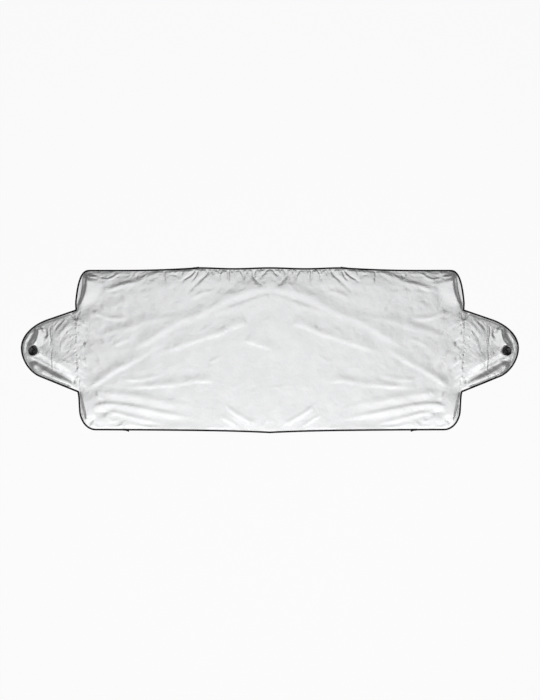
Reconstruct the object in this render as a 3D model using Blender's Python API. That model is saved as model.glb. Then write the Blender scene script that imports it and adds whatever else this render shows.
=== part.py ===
"""Outside windshield shade of silver-coated cloth, lying face up on a flat surface.

A long panel carries a cloth flap at each end, lapped under it and sewn on. Each flap's tip has a
second layer of cloth behind it and an eyelet through both, which holds a suction cup. Four lengths
of tape are folded over the cut edge all round. Lengths are in metres and +Z is up. X runs along
the shade and +Y towards its upper edge. The origin is on the surface that the shade lies on,
under the middle of its outline.
"""

import copy
import math

import bmesh
import bpy
import numpy as np
from mathutils import Vector
from mathutils.geometry import delaunay_2d_cdt

# Outline of the finished shade, over its tape
HALF_WIDTH = 0.750  # middle to the widest line of the panel's side
HALF_HEIGHT = 0.3197  # middle to the highest and to the lowest point
TOP_CROWN = 0.0102  # how far the shoulders lie below the top edge's highest points
TOP_SAG = 0.0035  # dip of the top edge between its middle and each tape join
TOP_FALL_RUN = 0.300  # length over which the top edge falls to its shoulder
BOTTOM_POINT = 0.0114  # how far the bottom edge's middle comes down below its shoulders
BOTTOM_POINT_RUN = 0.220  # length over which most of that is gained
UPPER_CORNER_RUN = 0.055
UPPER_CORNER_DROP = 0.4035 * HALF_HEIGHT
LOWER_CORNER_RUN = 0.066
LOWER_CORNER_RISE = 0.2377 * HALF_HEIGHT
LOWER_SIDE_INSET = 0.0152  # the side's lower end, in from its widest line
FLAP_REACH = 0.2086  # tip of the flap, out from the panel's widest line
FLAP_TIP_Y = 0.025 * HALF_HEIGHT
FLAP_TOP_Y = 0.4889 * HALF_HEIGHT  # notch above the flap
FLAP_TOP_INSET = 0.0012
FLAP_TOP_RUN = 0.515 * FLAP_REACH  # straight stretch of the flap's upper edge, along X
FLAP_TOP_SLOPE = math.radians(19.0)
FLAP_BOTTOM_Y = -0.507 * HALF_HEIGHT  # notch below the flap
FLAP_BOTTOM_INSET = 0.0092
FLAP_BOTTOM_RUN = 0.7004 * FLAP_REACH
FLAP_BOTTOM_SLOPE = math.radians(22.2)

# Handles of the outline's curves, as shares of the sizes beside them
UPPER_CORNER_ALONG = 0.64  # along the top edge
UPPER_CORNER_IN = 0.15  # in from the side
UPPER_CORNER_UP = 0.65  # up the side
LOWER_CORNER_ALONG = 0.60
LOWER_CORNER_IN = 0.04
LOWER_CORNER_DOWN = 0.50
SIDE_BOW = 0.30  # how far both of the lower side's handles stand out
SIDE_BOW_TOP = 0.25
SIDE_BOW_BOTTOM = 0.40
TIP_TOP_PULL = 0.50
TIP_BOTTOM_PULL = 0.30

# Cloth, seams and tape
CLOTH = 0.0005
CLEARANCE = 0.0003  # between pieces that touch
TAPE_WIDTH = 0.0066  # outer fold to the lip on each face
TAPE = 0.0006
SEAM_LAP = 0.012  # the flap's allowance under the panel
FACING_DEPTH = 0.5925 * FLAP_REACH  # the second layer's straight edge, in from the flap's tip
TOP_JOIN_X = 0.273  # end of the side tape on the top edge
BOTTOM_JOIN_X = 0.542  # end of the side tape on the bottom edge
JOIN_LAP = 0.012  # how far the side tape covers the end of the next one
JOIN_TAPER = 0.008
TOP_JOIN_FLARE = 0.0010  # how far the side tape's end stands out at a join
BOTTOM_JOIN_FLARE = 0.0042

# Suction cup and eyelet
CUP_FROM_TIP = 0.2435 * FLAP_REACH  # eyelet's axis, in from the flap's tip
CUP_Y = -0.0094 * HALF_HEIGHT
CUP_LEAN = math.radians(12.0)  # the cup leans towards the tip
RIM_RADIUS = 0.0183
RIM_LIP = 0.0012  # flat width of the rim
CUP_DEPTH = 0.0103  # rim above the cup's foot
BOWL_DEPTH = 0.0068
FOOT_RADIUS = 0.0075
NECK_RADIUS = 0.0037
HEAD_RADIUS = 0.0060
HEAD_HEIGHT = 0.0045
EYELET_WALL = 0.0005
EYELET_FLANGE = 0.0006  # thickness of the flange, the washer and the rolled end
FLANGE_RADIUS = 0.0070
ROLL_RADIUS = 0.0058
TURN_STEPS = 24

# How the cloth lies
PUFF = 0.0030  # height of the cloth's middle over its edge
PUFF_RUN = 0.070
FOLD_RISE = 0.001  # the fold table gives rises as multiples of this
FOLD_SPREAD = 0.010  # and each side's width as multiples of this
FOLD_FADE = (0.35, 0.35)  # shares of a fold's length over which it fades, unless the table says
FOLD_END_WIDTH = 0.4  # share of its width that a fold keeps where it fades out
CALM_RUN = 0.014  # width beside the tape in which small folds fade out
CUP_PLATE_RADIUS = 0.009  # flat cloth round the eyelet
CUP_TENT_RUN = 0.026  # width over which the cloth falls away from that
NOTCH_RAMP_IN = 0.050  # start of the rise onto the flap's tape, in from the widest line
NOTCH_RAMP_RUN = 0.035
FACING_RAMP_SHARE = 0.47  # share of the flap's plain stretch that rises onto the facing
JOIN_CALM = 0.036  # length beside a join over which its lift fades

# Fineness of the meshes
STRAIGHT_STEP = 0.033
CURVE_STEP = 0.015
SEAM_STEP = 0.020
FOLD_STEP = 0.025
GRID_STEP = 0.047
CURVE_PIECES = 6  # straight pieces between two points of a fold's line
MARK_GAP = 0.36 * FOLD_STEP  # least distance from one mesh point to the next
ROW_GAP = 0.50 * FOLD_STEP
GRID_GAP = 0.60 * GRID_STEP
MARK_CLEAR = 0.3 * CALM_RUN  # least distance from the tape
GRID_CLEAR = 0.6 * CALM_RUN
SHARP_EDGE = math.radians(40.0)

FLAP_TIP_X = HALF_WIDTH + FLAP_REACH
CUP_X = FLAP_TIP_X - CUP_FROM_TIP
FACING_X = FLAP_TIP_X - FACING_DEPTH
LAYER_RISE = CLOTH + CLEARANCE
PANEL_LEVEL = LAYER_RISE  # undersides of the three cloths, over the flap's own
FLAP_LEVEL = 0.0
FACING_LEVEL = -LAYER_RISE
CUT_EDGE_DEPTH = TAPE + CLEARANCE
SLEEVE_GROWTH = TAPE + CLEARANCE
NOTCH_CLEAR = 0.010  # tape station past a notch that still clears the panel's corner


def smooth(share):
    """0 below 0, 1 above 1 and an S-curve between, for a number or an array."""
    t = np.clip(share, 0.0, 1.0)
    return t * t * (3 - 2 * t)


def bezier(a, b, c, d, t):
    """Point at t on the cubic curve with ends a and d and handles b and c."""
    s = 1 - t
    return a * s**3 + b * (3 * s * s * t) + c * (3 * s * t * t) + d * t**3


def rounded_line(points):
    """A smooth line through the points, as an array of close points."""
    ends = [2 * points[0] - points[1], *points, 2 * points[-1] - points[-2]]
    line = []
    for p0, p1, p2, p3 in zip(ends, ends[1:], ends[2:], ends[3:]):
        for i in range(CURVE_PIECES):
            line.append(bezier(p1, p1 + (p2 - p0) / 6, p2 - (p3 - p1) / 6, p2, i / CURVE_PIECES))
    return np.array([*line, points[-1]])


class Fold:
    """A ridge in the cloth, or a groove where rise is negative, along a smooth line."""

    def __init__(self, line, rise, left, right, ends=FOLD_FADE, lifts_edge=False):
        """line is in shares of the panel's half width and half height. left and right are the
        widths of the slopes beside it, and ends the shares of its length over which it fades."""
        size = np.array([HALF_WIDTH, HALF_HEIGHT])
        self.line = rounded_line([np.array(point) * size for point in line])
        self.rise = rise * FOLD_RISE
        self.left = left * FOLD_SPREAD
        self.right = right * FOLD_SPREAD
        self.ends = ends
        self.lifts_edge = lifts_edge

    def mirrored(self):
        """The same fold on the other half of the shade."""
        twin = copy.copy(self)
        twin.line = self.line * np.array([-1.0, 1.0])
        twin.left, twin.right = self.right, self.left
        return twin

    def width_share(self, strength):
        """Share of its full width that the fold has where it has a strength."""
        return FOLD_END_WIDTH + (1 - FOLD_END_WIDTH) * strength

    def fade(self, share):
        """Strength of the fold at a share of its length."""
        strength = np.ones_like(share)
        if self.ends[0] > 0:
            strength = strength * smooth(share / self.ends[0])
        if self.ends[1] > 0:
            strength = strength * smooth((1 - share) / self.ends[1])
        return strength

    def heights(self, points):
        """What the fold adds at each of the points."""
        starts, steps = self.line[:-1], np.diff(self.line, axis=0)
        lengths = np.linalg.norm(steps, axis=1)
        before = np.concatenate([[0.0], np.cumsum(lengths)])
        nearest = np.full(len(points), np.inf)
        share = np.zeros(len(points))
        on_left = np.zeros(len(points), bool)
        for start, step, length, gone in zip(starts, steps, lengths, before):
            away = points - start
            t = np.clip(away @ step / length**2, 0.0, 1.0)
            distance = np.linalg.norm(away - t[:, None] * step, axis=1)
            closer = distance < nearest
            nearest = np.where(closer, distance, nearest)
            share = np.where(closer, (gone + t * length) / before[-1], share)
            turn = step[0] * away[:, 1] - step[1] * away[:, 0]
            on_left = np.where(closer, turn > 0, on_left)
        strength = self.fade(share)
        width = np.where(on_left, self.left, self.right) * self.width_share(strength)
        q = np.clip(nearest / width, 0.0, 1.0)
        return self.rise * strength * (1 - q) ** 2 * (1 + q)

    def marks(self):
        """Points on the crest and at the foot of each slope, for the mesh."""
        steps = np.diff(self.line, axis=0)
        reach = np.concatenate([[0.0], np.cumsum(np.linalg.norm(steps, axis=1))])
        count = max(2, math.ceil(reach[-1] / FOLD_STEP))
        found = []
        for i in range(count + 1):
            share = i / count
            at = share * reach[-1]
            place = np.array([np.interp(at, reach, self.line[:, k]) for k in (0, 1)])
            k = min(int(np.searchsorted(reach, at, side="right")) - 1, len(steps) - 1)
            across = np.array([-steps[k][1], steps[k][0]]) / np.linalg.norm(steps[k])
            width = self.width_share(float(self.fade(np.array(share))))
            found.append(place)
            found.append(place + across * self.left * width)
            found.append(place - across * self.right * width)
        return found


# Folds of the left half, which the right half mirrors. Each is its line, its rise, the widths of
# its left and right slopes and, where it needs them, its fading shares. The photograph is lit from
# below, so that a ridge shows as a dark line above a bright one and a gather as a dark stroke.
TWIN_FOLDS = [
    # Long ridges that rise from the lower corner towards the middle of the top edge
    Fold(
        [(-0.923, -0.455), (-0.81, -0.272), (-0.713, -0.149), (-0.631, -0.034), (-0.564, 0.069)],
        2.3, 3.2, 1.3, (0.15, 0.35),
    ),
    Fold(
        [
            (-0.728, -0.046), (-0.641, 0.095), (-0.559, 0.219), (-0.472, 0.336), (-0.369, 0.43),
            (-0.297, 0.514), (-0.184, 0.647), (-0.071, 0.725), (0.0, 0.743),
        ],
        2.8, 4.5, 2.4, (0.25, 0.06),
    ),
    Fold(
        [
            (-0.323, 0.406), (-0.271, 0.457), (-0.195, 0.516),
            (-0.123, 0.571), (-0.051, 0.637), (0.0, 0.653),
        ],
        1.9, 0.9, 1.7, (0.3, 0.05),
    ),
    Fold(
        [
            (-0.585, -0.058), (-0.441, 0.067), (-0.323, 0.161),
            (-0.256, 0.207), (-0.179, 0.288), (-0.107, 0.333),
        ],
        3.0, 4.5, 1.5, (0.3, 0.06),
    ),
    Fold([(-0.764, -0.35), (-0.662, -0.354), (-0.554, -0.293)], 1.3, 1.8, 1.1, (0.3, 0.3)),
    Fold(
        [
            (-0.78, -0.457), (-0.641, -0.438), (-0.513, -0.419),
            (-0.41, -0.378), (-0.343, -0.368), (-0.282, -0.395),
        ],
        2.4, 2.6, 1.1, (0.35, 0.1),
    ),
    Fold([(-0.918, 0.478), (-0.851, 0.405), (-0.795, 0.378), (-0.723, 0.388)], 1.8, 2, 1.1, (0.15, 0.2)),
    Fold(
        [
            (-0.908, 0.261), (-0.862, 0.185), (-0.805, 0.234), (-0.733, 0.27),
            (-0.641, 0.348), (-0.543, 0.384), (-0.441, 0.424),
        ],
        1.6, 2.8, 1.8, (0.12, 0.4),
    ),
    Fold([(-0.42, 0.604), (-0.343, 0.689), (-0.282, 0.713)], 1.5, 1.4, 1.2),
    # Long sweeps along the bottom edge, each ridge steep above and long below
    Fold(
        [(-0.882, -0.497), (-0.703, -0.545), (-0.564, -0.606), (-0.446, -0.654), (-0.343, -0.732)],
        2.2, 2.4, 3.4, (0.15, 0.35),
    ),
    Fold(
        [
            (-0.913, -0.726), (-0.882, -0.657), (-0.8, -0.643), (-0.677, -0.684),
            (-0.538, -0.749), (-0.441, -0.79), (-0.333, -0.858),
        ],
        3.0, 0.7, 3, (0.1, 0.4),
    ),
    Fold(
        [(-0.846, -0.738), (-0.785, -0.746), (-0.697, -0.799), (-0.6, -0.852), (-0.513, -0.895)],
        2.0, 0.6, 1.8, (0.2, 0.35),
    ),
    # Short ridges that meet at the point of the bottom edge
    Fold(
        [(-0.241, -0.606), (-0.2, -0.714), (-0.128, -0.822), (-0.056, -0.907)],
        2.4, 1.2, 1.5, (0.25, 0.2),
    ),
    Fold([(-0.266, -0.768), (-0.215, -0.84), (-0.159, -0.925)], 2.2, 0.9, 1.1, (0.3, 0.15)),
    # Slack cloth under the upper corner
    Fold(
        [(-0.882, 0.707), (-0.81, 0.743), (-0.718, 0.803), (-0.631, 0.875), (-0.559, 0.954)],
        1.5, 1.6, 1.4, (0.3, 0.1),
    ),
    Fold([(-0.836, 0.725), (-0.785, 0.766), (-0.744, 0.802), (-0.672, 0.809)], 1.8, 0.7, 1.1, (0.3, 0.3)),
    Fold([(-0.94, 0.905), (-0.913, 0.887), (-0.882, 0.884)], 2.2, 0.7, 0.9, (0.1, 0.3)),
    Fold(
        [(-0.954, 0.099), (-0.904, -0.012), (-0.863, -0.154), (-0.846, -0.274)],
        2.1, 2.2, 1, (0.08, 0.45),
    ),
    Fold([(-0.954, -0.094), (-0.918, -0.184), (-0.895, -0.287)], 1.6, 1.4, 0.8, (0.1, 0.4)),
    # Gathers that hang from the top edge
    Fold(
        [(-0.315, 0.96), (-0.329, 0.905), (-0.372, 0.815), (-0.415, 0.701), (-0.428, 0.616)],
        -4.2, 0.9, 1, (0.03, 0.45),
    ),
    Fold([(-0.384, 0.96), (-0.41, 0.899), (-0.456, 0.833)], -3.0, 0.8, 0.8, (0.03, 0.4)),
    Fold([(-0.211, 0.966), (-0.21, 0.893), (-0.205, 0.809)], -3.8, 0.8, 0.8, (0.02, 0.35)),
    Fold([(-0.156, 0.96), (-0.138, 0.899), (-0.133, 0.815)], -3.8, 0.8, 0.8, (0.02, 0.3)),
    Fold([(-0.077, 0.972), (-0.083, 0.899), (-0.064, 0.836), (-0.033, 0.763)], -4.2, 0.8, 0.8, (0.02, 0.3)),
    Fold([(-0.012, 0.969), (-0.028, 0.923), (-0.047, 0.875)], -3.6, 0.8, 0.8, (0.02, 0.4)),
    # The side's upper stretch: the panel drops steeply to a groove beside a lifted edge
    Fold(
        [(-0.944, 0.941), (-0.939, 0.833), (-0.943, 0.725), (-0.961, 0.604), (-0.985, 0.472)],
        9.0, 6, 1.7, (0.25, 0.55),
    ),
    Fold([(-0.957, 0.905), (-0.969, 0.725), (-0.985, 0.556)], -4.0, 0.9, 0.9, (0.2, 0.25)),
    Fold([(-0.984, 0.941), (-0.995, 0.749), (-0.998, 0.532)], 4.5, 1.4, 1.4, (0.4, 0.4), True),
    # The side's lower stretch: a narrow step down to a flat strip
    Fold([(-0.98, -0.455), (-0.962, -0.588), (-0.946, -0.732), (-0.936, -0.864)], 6.0, 6, 0.8, (0.2, 0.2)),
    # The lifted bottom edge
    Fold([(-0.79, -1.02), (-0.489, -1.02), (-0.209, -1.02)], 5.0, 6, 4, (0.4, 0.4), True),
    # The flap: a crest from the cup to the lower notch, and a second one along the lower edge
    Fold(
        [(-1.203, 0.002), (-1.149, -0.07), (-1.108, -0.12), (-1.046, -0.205), (-0.99, -0.335)],
        6.5, 5.5, 3.2, (0.0, 0.22),
    ),
    Fold(
        [
            (-1.239, -0.13), (-1.2, -0.196), (-1.159, -0.253),
            (-1.093, -0.333), (-1.041, -0.386), (-1.01, -0.414),
        ],
        5.5, 2.2, 2.2, (0.15, 0.3),
    ),
    # The flap's tip: cloth falls from the cup to a groove inside a lifted edge
    Fold(
        [(-1.184, 0.285), (-1.186, 0.219), (-1.192, 0.147), (-1.211, 0.069), (-1.231, 0.002)],
        8.0, 3, 1.6, (0.12, 0.1),
    ),
    Fold([(-1.213, 0.219), (-1.239, 0.093), (-1.252, 0.014), (-1.249, -0.07)], -2.4, 0.8, 0.9, (0.2, 0.2)),
    Fold([(-1.218, 0.255), (-1.252, 0.135), (-1.274, 0.039)], 3.6, 1.3, 1.3, (0.4, 0.4), True),
    Fold([(-1.173, 0.267), (-1.145, 0.203), (-1.163, 0.137)], -2.8, 0.8, 0.9, (0.2, 0.2)),
    # The flap's upper half: curved creases between the hem and the seam
    Fold([(-1.023, 0.448), (-0.996, 0.37)], -2.4, 0.8, 0.8, (0.2, 0.1)),
    # Cloth drawn in at the seam
    Fold([(-0.986, 0.129), (-0.957, 0.079), (-0.98, 0.02)], -2.4, 0.9, 0.9, (0.05, 0.1)),
]
# Folds that only one half has
SINGLE_FOLDS = [
    Fold([(-0.138, 0.131), (-0.051, 0.065), (0.036, -0.005)], 2.6, 4.6, 1.3, (0.2, 0.35)),
]
FOLDS = TWIN_FOLDS + [fold.mirrored() for fold in TWIN_FOLDS] + SINGLE_FOLDS


def top_edge(x):
    """Height of the finished top edge: two crests at the tape joins and one in the middle."""
    if abs(x) <= TOP_JOIN_X:
        return HALF_HEIGHT - TOP_SAG * math.sin(math.pi * abs(x) / TOP_JOIN_X) ** 2
    left = 1 - min(1.0, (abs(x) - TOP_JOIN_X) / TOP_FALL_RUN)
    return HALF_HEIGHT - TOP_CROWN * (1 - left * left)


def bottom_edge(x):
    """Height of the finished bottom edge, which comes to a blunt point in the middle."""
    return -HALF_HEIGHT + BOTTOM_POINT * (1 - math.exp(-abs(x) / BOTTOM_POINT_RUN))


def along_edge(edge, start, end):
    """A curve that runs along the top or bottom edge from one X to another."""
    return lambda t: Vector((start + (end - start) * t, edge(start + (end - start) * t)))


def straight(a, b):
    """A straight curve from a to b."""
    return lambda t: a.lerp(b, t)


def curved(a, b, c, d):
    """A cubic curve from a to d."""
    return lambda t: bezier(a, b, c, d, t)


def right_half():
    """The finished outline's right half, clockwise from the top middle, as (point, mark) pairs."""
    notch_top = Vector((HALF_WIDTH - FLAP_TOP_INSET, FLAP_TOP_Y))
    notch_bottom = Vector((HALF_WIDTH - FLAP_BOTTOM_INSET, FLAP_BOTTOM_Y))
    down_flap = Vector((math.cos(FLAP_TOP_SLOPE), -math.sin(FLAP_TOP_SLOPE)))
    up_flap = Vector((math.cos(FLAP_BOTTOM_SLOPE), math.sin(FLAP_BOTTOM_SLOPE)))
    flap_top = notch_top + down_flap * (FLAP_TOP_RUN / down_flap.x)
    flap_bottom = notch_bottom + up_flap * (FLAP_BOTTOM_RUN / up_flap.x)
    facing_top = notch_top + down_flap * ((FACING_X - notch_top.x) / down_flap.x)
    facing_bottom = notch_bottom + up_flap * ((FACING_X - notch_bottom.x) / up_flap.x)
    past_top = notch_top + down_flap * NOTCH_CLEAR
    past_bottom = notch_bottom + up_flap * NOTCH_CLEAR
    tip = Vector((FLAP_TIP_X, FLAP_TIP_Y))

    shoulder_x = HALF_WIDTH - UPPER_CORNER_RUN
    shoulder = Vector((shoulder_x, top_edge(shoulder_x)))
    side_top = Vector((HALF_WIDTH, shoulder.y - UPPER_CORNER_DROP))
    foot_x = HALF_WIDTH - LOWER_SIDE_INSET - LOWER_CORNER_RUN
    foot = Vector((foot_x, bottom_edge(foot_x)))
    side_bottom = Vector((HALF_WIDTH - LOWER_SIDE_INSET, foot.y + LOWER_CORNER_RISE))
    corner_handles = (
        shoulder + Vector((UPPER_CORNER_ALONG * UPPER_CORNER_RUN, 0)),
        side_top + Vector((-UPPER_CORNER_IN * UPPER_CORNER_RUN, UPPER_CORNER_UP * UPPER_CORNER_DROP)),
    )
    foot_handles = (
        side_bottom - Vector((LOWER_CORNER_IN * LOWER_CORNER_RUN, LOWER_CORNER_DOWN * LOWER_CORNER_RISE)),
        foot + Vector((LOWER_CORNER_ALONG * LOWER_CORNER_RUN, 0)),
    )
    side_drop = notch_bottom.y - side_bottom.y
    bow_x = side_bottom.x + SIDE_BOW * (notch_bottom.x - side_bottom.x)
    side_handles = (
        Vector((bow_x, notch_bottom.y - SIDE_BOW_TOP * side_drop)),
        Vector((bow_x, side_bottom.y + SIDE_BOW_BOTTOM * side_drop)),
    )
    top_pull = TIP_TOP_PULL * FLAP_TOP_RUN
    bottom_pull = TIP_BOTTOM_PULL * FLAP_BOTTOM_RUN
    tip_top = (flap_top + down_flap * top_pull, tip + Vector((0, top_pull)))
    tip_bottom = (tip - Vector((0, bottom_pull)), flap_bottom + up_flap * bottom_pull)

    joined_top = TOP_JOIN_X + JOIN_LAP
    joined_bottom = BOTTOM_JOIN_X + JOIN_LAP
    lap = JOIN_LAP / 2
    pieces = [
        ("", along_edge(top_edge, 0, TOP_JOIN_X), STRAIGHT_STEP),
        ("top join", along_edge(top_edge, TOP_JOIN_X, joined_top), JOIN_LAP),
        ("top tape end", along_edge(top_edge, joined_top, joined_top + lap), JOIN_LAP),
        ("", along_edge(top_edge, joined_top + lap, joined_top + lap + JOIN_TAPER), JOIN_LAP),
        ("", along_edge(top_edge, joined_top + lap + JOIN_TAPER, shoulder.x), STRAIGHT_STEP),
        ("", curved(shoulder, *corner_handles, side_top), CURVE_STEP),
        ("", straight(side_top, notch_top), STRAIGHT_STEP),
        ("notch top", straight(notch_top, past_top), NOTCH_CLEAR),
        ("", straight(past_top, facing_top), STRAIGHT_STEP),
        ("facing top", straight(facing_top, flap_top), STRAIGHT_STEP),
        ("", curved(flap_top, *tip_top, tip), CURVE_STEP),
        ("", curved(tip, *tip_bottom, flap_bottom), CURVE_STEP),
        ("", straight(flap_bottom, facing_bottom), STRAIGHT_STEP),
        ("facing bottom", straight(facing_bottom, past_bottom), STRAIGHT_STEP),
        ("", straight(past_bottom, notch_bottom), NOTCH_CLEAR),
        ("notch bottom", curved(notch_bottom, *side_handles, side_bottom), STRAIGHT_STEP),
        ("", curved(side_bottom, *foot_handles, foot), CURVE_STEP),
        ("", along_edge(bottom_edge, foot.x, joined_bottom + lap + JOIN_TAPER), STRAIGHT_STEP),
        ("", along_edge(bottom_edge, joined_bottom + lap + JOIN_TAPER, joined_bottom + lap), JOIN_LAP),
        ("", along_edge(bottom_edge, joined_bottom + lap, joined_bottom), JOIN_LAP),
        ("bottom tape end", along_edge(bottom_edge, joined_bottom, BOTTOM_JOIN_X), JOIN_LAP),
        ("bottom join", along_edge(bottom_edge, BOTTOM_JOIN_X, 0), STRAIGHT_STEP),
    ]
    stations = []
    for mark, curve, step in pieces:
        count = max(1, round((curve(1) - curve(0)).length / step))
        for i in range(count):
            stations.append((curve(i / count), mark if i == 0 else ""))
    return stations


class Outline:
    """The finished outline as a closed, clockwise run of stations."""

    def __init__(self):
        right = right_half()
        self.points = [point for point, _ in right]
        self.points.append(Vector((0, bottom_edge(0))))
        self.marks = {(mark, 1): i for i, (_, mark) in enumerate(right) if mark}
        for point, mark in reversed(right[1:]):
            if mark:
                self.marks[(mark, -1)] = len(self.points)
            self.points.append(Vector((-point.x, point.y)))
        self.inward = [self._inward(i) for i in range(len(self.points))]
        self.ring = np.array([tuple(p) for p in self.points])

    def _inward(self, i):
        """The way into the cloth at a station, lengthened where the edge turns."""
        count = len(self.points)
        before = (self.points[i] - self.points[i - 1]).normalized()
        after = (self.points[(i + 1) % count] - self.points[i]).normalized()
        sides = [Vector((way.y, -way.x)) for way in (before, after)]
        middle = (sides[0] + sides[1]).normalized()
        return middle / middle.dot(sides[0])

    def at(self, i, depth):
        """The point that lies a depth inside the finished edge, square to it."""
        i %= len(self.points)
        return self.points[i] + self.inward[i] * depth

    def span(self, start, end):
        """Station numbers from one mark to another, clockwise, both included."""
        first, last = self.marks[start], self.marks[end]
        if last < first:
            last += len(self.points)
        return list(range(first, last + 1))

    def depth_of(self, points):
        """Distance of each point from the finished edge."""
        nearest = np.full(len(points), np.inf)
        for a, b in zip(self.ring, np.roll(self.ring, -1, axis=0)):
            step = b - a
            t = np.clip((points - a) @ step / (step @ step), 0.0, 1.0)
            nearest = np.minimum(nearest, np.linalg.norm(points - a - t[:, None] * step, axis=1))
        return nearest


OUTLINE = Outline()


def head_bottom():
    """The underside of the cup's head, below the flap's underside along the cup's axis."""
    return FACING_LEVEL - 3 * CLEARANCE - 2 * EYELET_FLANGE - HEAD_HEIGHT


def cup_seat_height():
    """Height of the flap at the eyelet that sets the leaning head on the surface."""
    flat = 0.5 * HEAD_RADIUS
    dome = head_bottom() + 0.2 * HEAD_HEIGHT
    corners = [(flat, head_bottom()), (HEAD_RADIUS, dome)]
    return max(r * math.sin(CUP_LEAN) - z * math.cos(CUP_LEAN) for r, z in corners)


def rest_level(x):
    """Height of the flap cloth's level where the lowest layer under it just touches down."""
    under_tape = CLEARANCE + TAPE
    panel = under_tape - PANEL_LEVEL
    over_notch = smooth((x - HALF_WIDTH + NOTCH_RAMP_IN) / NOTCH_RAMP_RUN) * (under_tape - panel)
    facing_ramp = FACING_RAMP_SHARE * (FACING_X - HALF_WIDTH)
    over_facing = smooth((x - HALF_WIDTH) / facing_ramp) * -FACING_LEVEL
    return panel + over_notch + over_facing


def join_lift(points):
    """What the thicker tape at each join lifts the cloth's edge by."""
    lift = np.zeros(len(points))
    for (mark, _), i in OUTLINE.marks.items():
        if mark in ("top tape end", "bottom tape end"):
            away = np.linalg.norm(points - OUTLINE.ring[i], axis=1)
            lift = np.maximum(lift, smooth(2 - away / JOIN_CALM))
    return lift * SLEEVE_GROWTH


def heights(points):
    """Height of the flap cloth's level at each (x, y): the panel lies a layer above it."""
    p = np.array([tuple(point) for point in points], float)
    depth = OUTLINE.depth_of(p)
    loose = smooth((depth - TAPE_WIDTH) / CALM_RUN)
    lie = PUFF * smooth(depth / PUFF_RUN)
    for fold in FOLDS:
        lie = lie + fold.heights(p) * (1.0 if fold.lifts_edge else loose)
    x = np.abs(p[:, 0])
    level = rest_level(x) + join_lift(p) + np.maximum(lie, 0.0)
    plate = cup_seat_height() - (x - CUP_X) * math.tan(CUP_LEAN)
    away = np.hypot(x - CUP_X, p[:, 1] - CUP_Y)
    tent = 1 - smooth((away - CUP_PLATE_RADIUS) / CUP_TENT_RUN)
    return level * (1 - tent) + plate * tent


class Sheet:
    """A flat cut of cloth as points and triangles, before it is laid in its folds."""

    def __init__(self):
        self.points = []
        self.faces = []
        self._found = {}

    def point(self, place):
        """Number of the point at a place, which is added if it is new."""
        key = (round(place[0], 5), round(place[1], 5))
        if key not in self._found:
            self._found[key] = len(self.points)
            self.points.append(Vector((place[0], place[1])))
        return self._found[key]

    def face(self, places):
        """Adds a triangle, facing up."""
        a, b, c = (Vector((p[0], p[1])) for p in places)
        turn = (b - a).cross(c - a)
        order = (a, b, c) if turn > 0 else (a, c, b)
        self.faces.append(tuple(self.point(p) for p in order))

    def add_edge_band(self, stations):
        """The strip of cloth inside the tape, cut as the tape's lips are."""
        for i, j in zip(stations, stations[1:]):
            a, b = (OUTLINE.at(k, CUT_EDGE_DEPTH) for k in (i, j))
            c, d = (OUTLINE.at(k, TAPE_WIDTH) for k in (j, i))
            self.face((a, b, c))
            self.face((a, c, d))

    def fill(self, loop, lines, loose, hole=None):
        """Triangles inside a loop that keep the given lines as edges and use the loose points."""
        places, edges = list(loop), []
        for line in lines:
            first = len(places)
            places.extend(line)
            edges.extend((first + k, first + k + 1) for k in range(len(line) - 1))
        if hole:
            first = len(places)
            places.extend(hole)
            edges.extend((first + k, first + (k + 1) % len(hole)) for k in range(len(hole)))
        places.extend(Vector(p) for p in loose)
        ring = [list(range(len(loop)))]
        found = delaunay_2d_cdt([Vector((p[0], p[1])) for p in places], edges, ring, 1, 1e-7)
        centre = sum(hole, Vector((0, 0))) / len(hole) if hole else None
        for face in found[2]:
            corners = [found[0][k] for k in face]
            middle = (corners[0] + corners[1] + corners[2]) / 3
            if centre is None or (middle - centre).length > barrel_hole():
                self.face(corners)

    def build(self, name, level, material):
        """The laid sheet as an object, with its thickness."""
        mesh = bmesh.new()
        verts = [
            mesh.verts.new((point.x, point.y, z + level + CLOTH))
            for point, z in zip(self.points, heights(self.points))
        ]
        tops = [mesh.faces.new([verts[i] for i in face]) for face in self.faces]
        below = bmesh.ops.extrude_face_region(mesh, geom=tops, use_keep_orig=True)
        moved = [v for v in below["geom"] if isinstance(v, bmesh.types.BMVert)]
        bmesh.ops.translate(mesh, verts=moved, vec=(0, 0, -CLOTH))
        bmesh.ops.recalc_face_normals(mesh, faces=mesh.faces)
        return finish_object(name, mesh, material)

    def middle(self, face):
        """Centre of a triangle."""
        return sum((self.points[i] for i in face), Vector((0, 0))) / 3


def finish_object(name, mesh, material):
    """Makes an object of a bmesh and shades it smooth between its sharper edges."""
    data = bpy.data.meshes.new(name)
    mesh.to_mesh(data)
    mesh.free()
    data.materials.append(material)
    data.shade_smooth()
    data.set_sharp_from_angle(angle=SHARP_EDGE)
    made = bpy.data.objects.new(name, data)
    bpy.context.scene.collection.objects.link(made)
    return made


def make_material(name, colour, roughness, metallic):
    """A plain surface."""
    material = bpy.data.materials.new(name)
    material.use_nodes = True
    shader = material.node_tree.nodes["Principled BSDF"]
    shader.inputs["Base Color"].default_value = (*colour, 1.0)
    shader.inputs["Roughness"].default_value = roughness
    shader.inputs["Metallic"].default_value = metallic
    return material


def seam_points(side):
    """The panel's sewn edge between the notches, top to bottom, and the flap's edge under it."""
    top = OUTLINE.at(OUTLINE.marks[("notch top", side)], CUT_EDGE_DEPTH)
    bottom = OUTLINE.at(OUTLINE.marks[("notch bottom", side)], CUT_EDGE_DEPTH)
    count = round((top - bottom).length / SEAM_STEP)
    seam = [top.lerp(bottom, i / count) for i in range(count + 1)]
    inward = Vector((-side * SEAM_LAP, 0))
    under = [top.lerp(bottom, (i + 0.5) / count) + inward for i in range(count)]
    return seam, under


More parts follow.
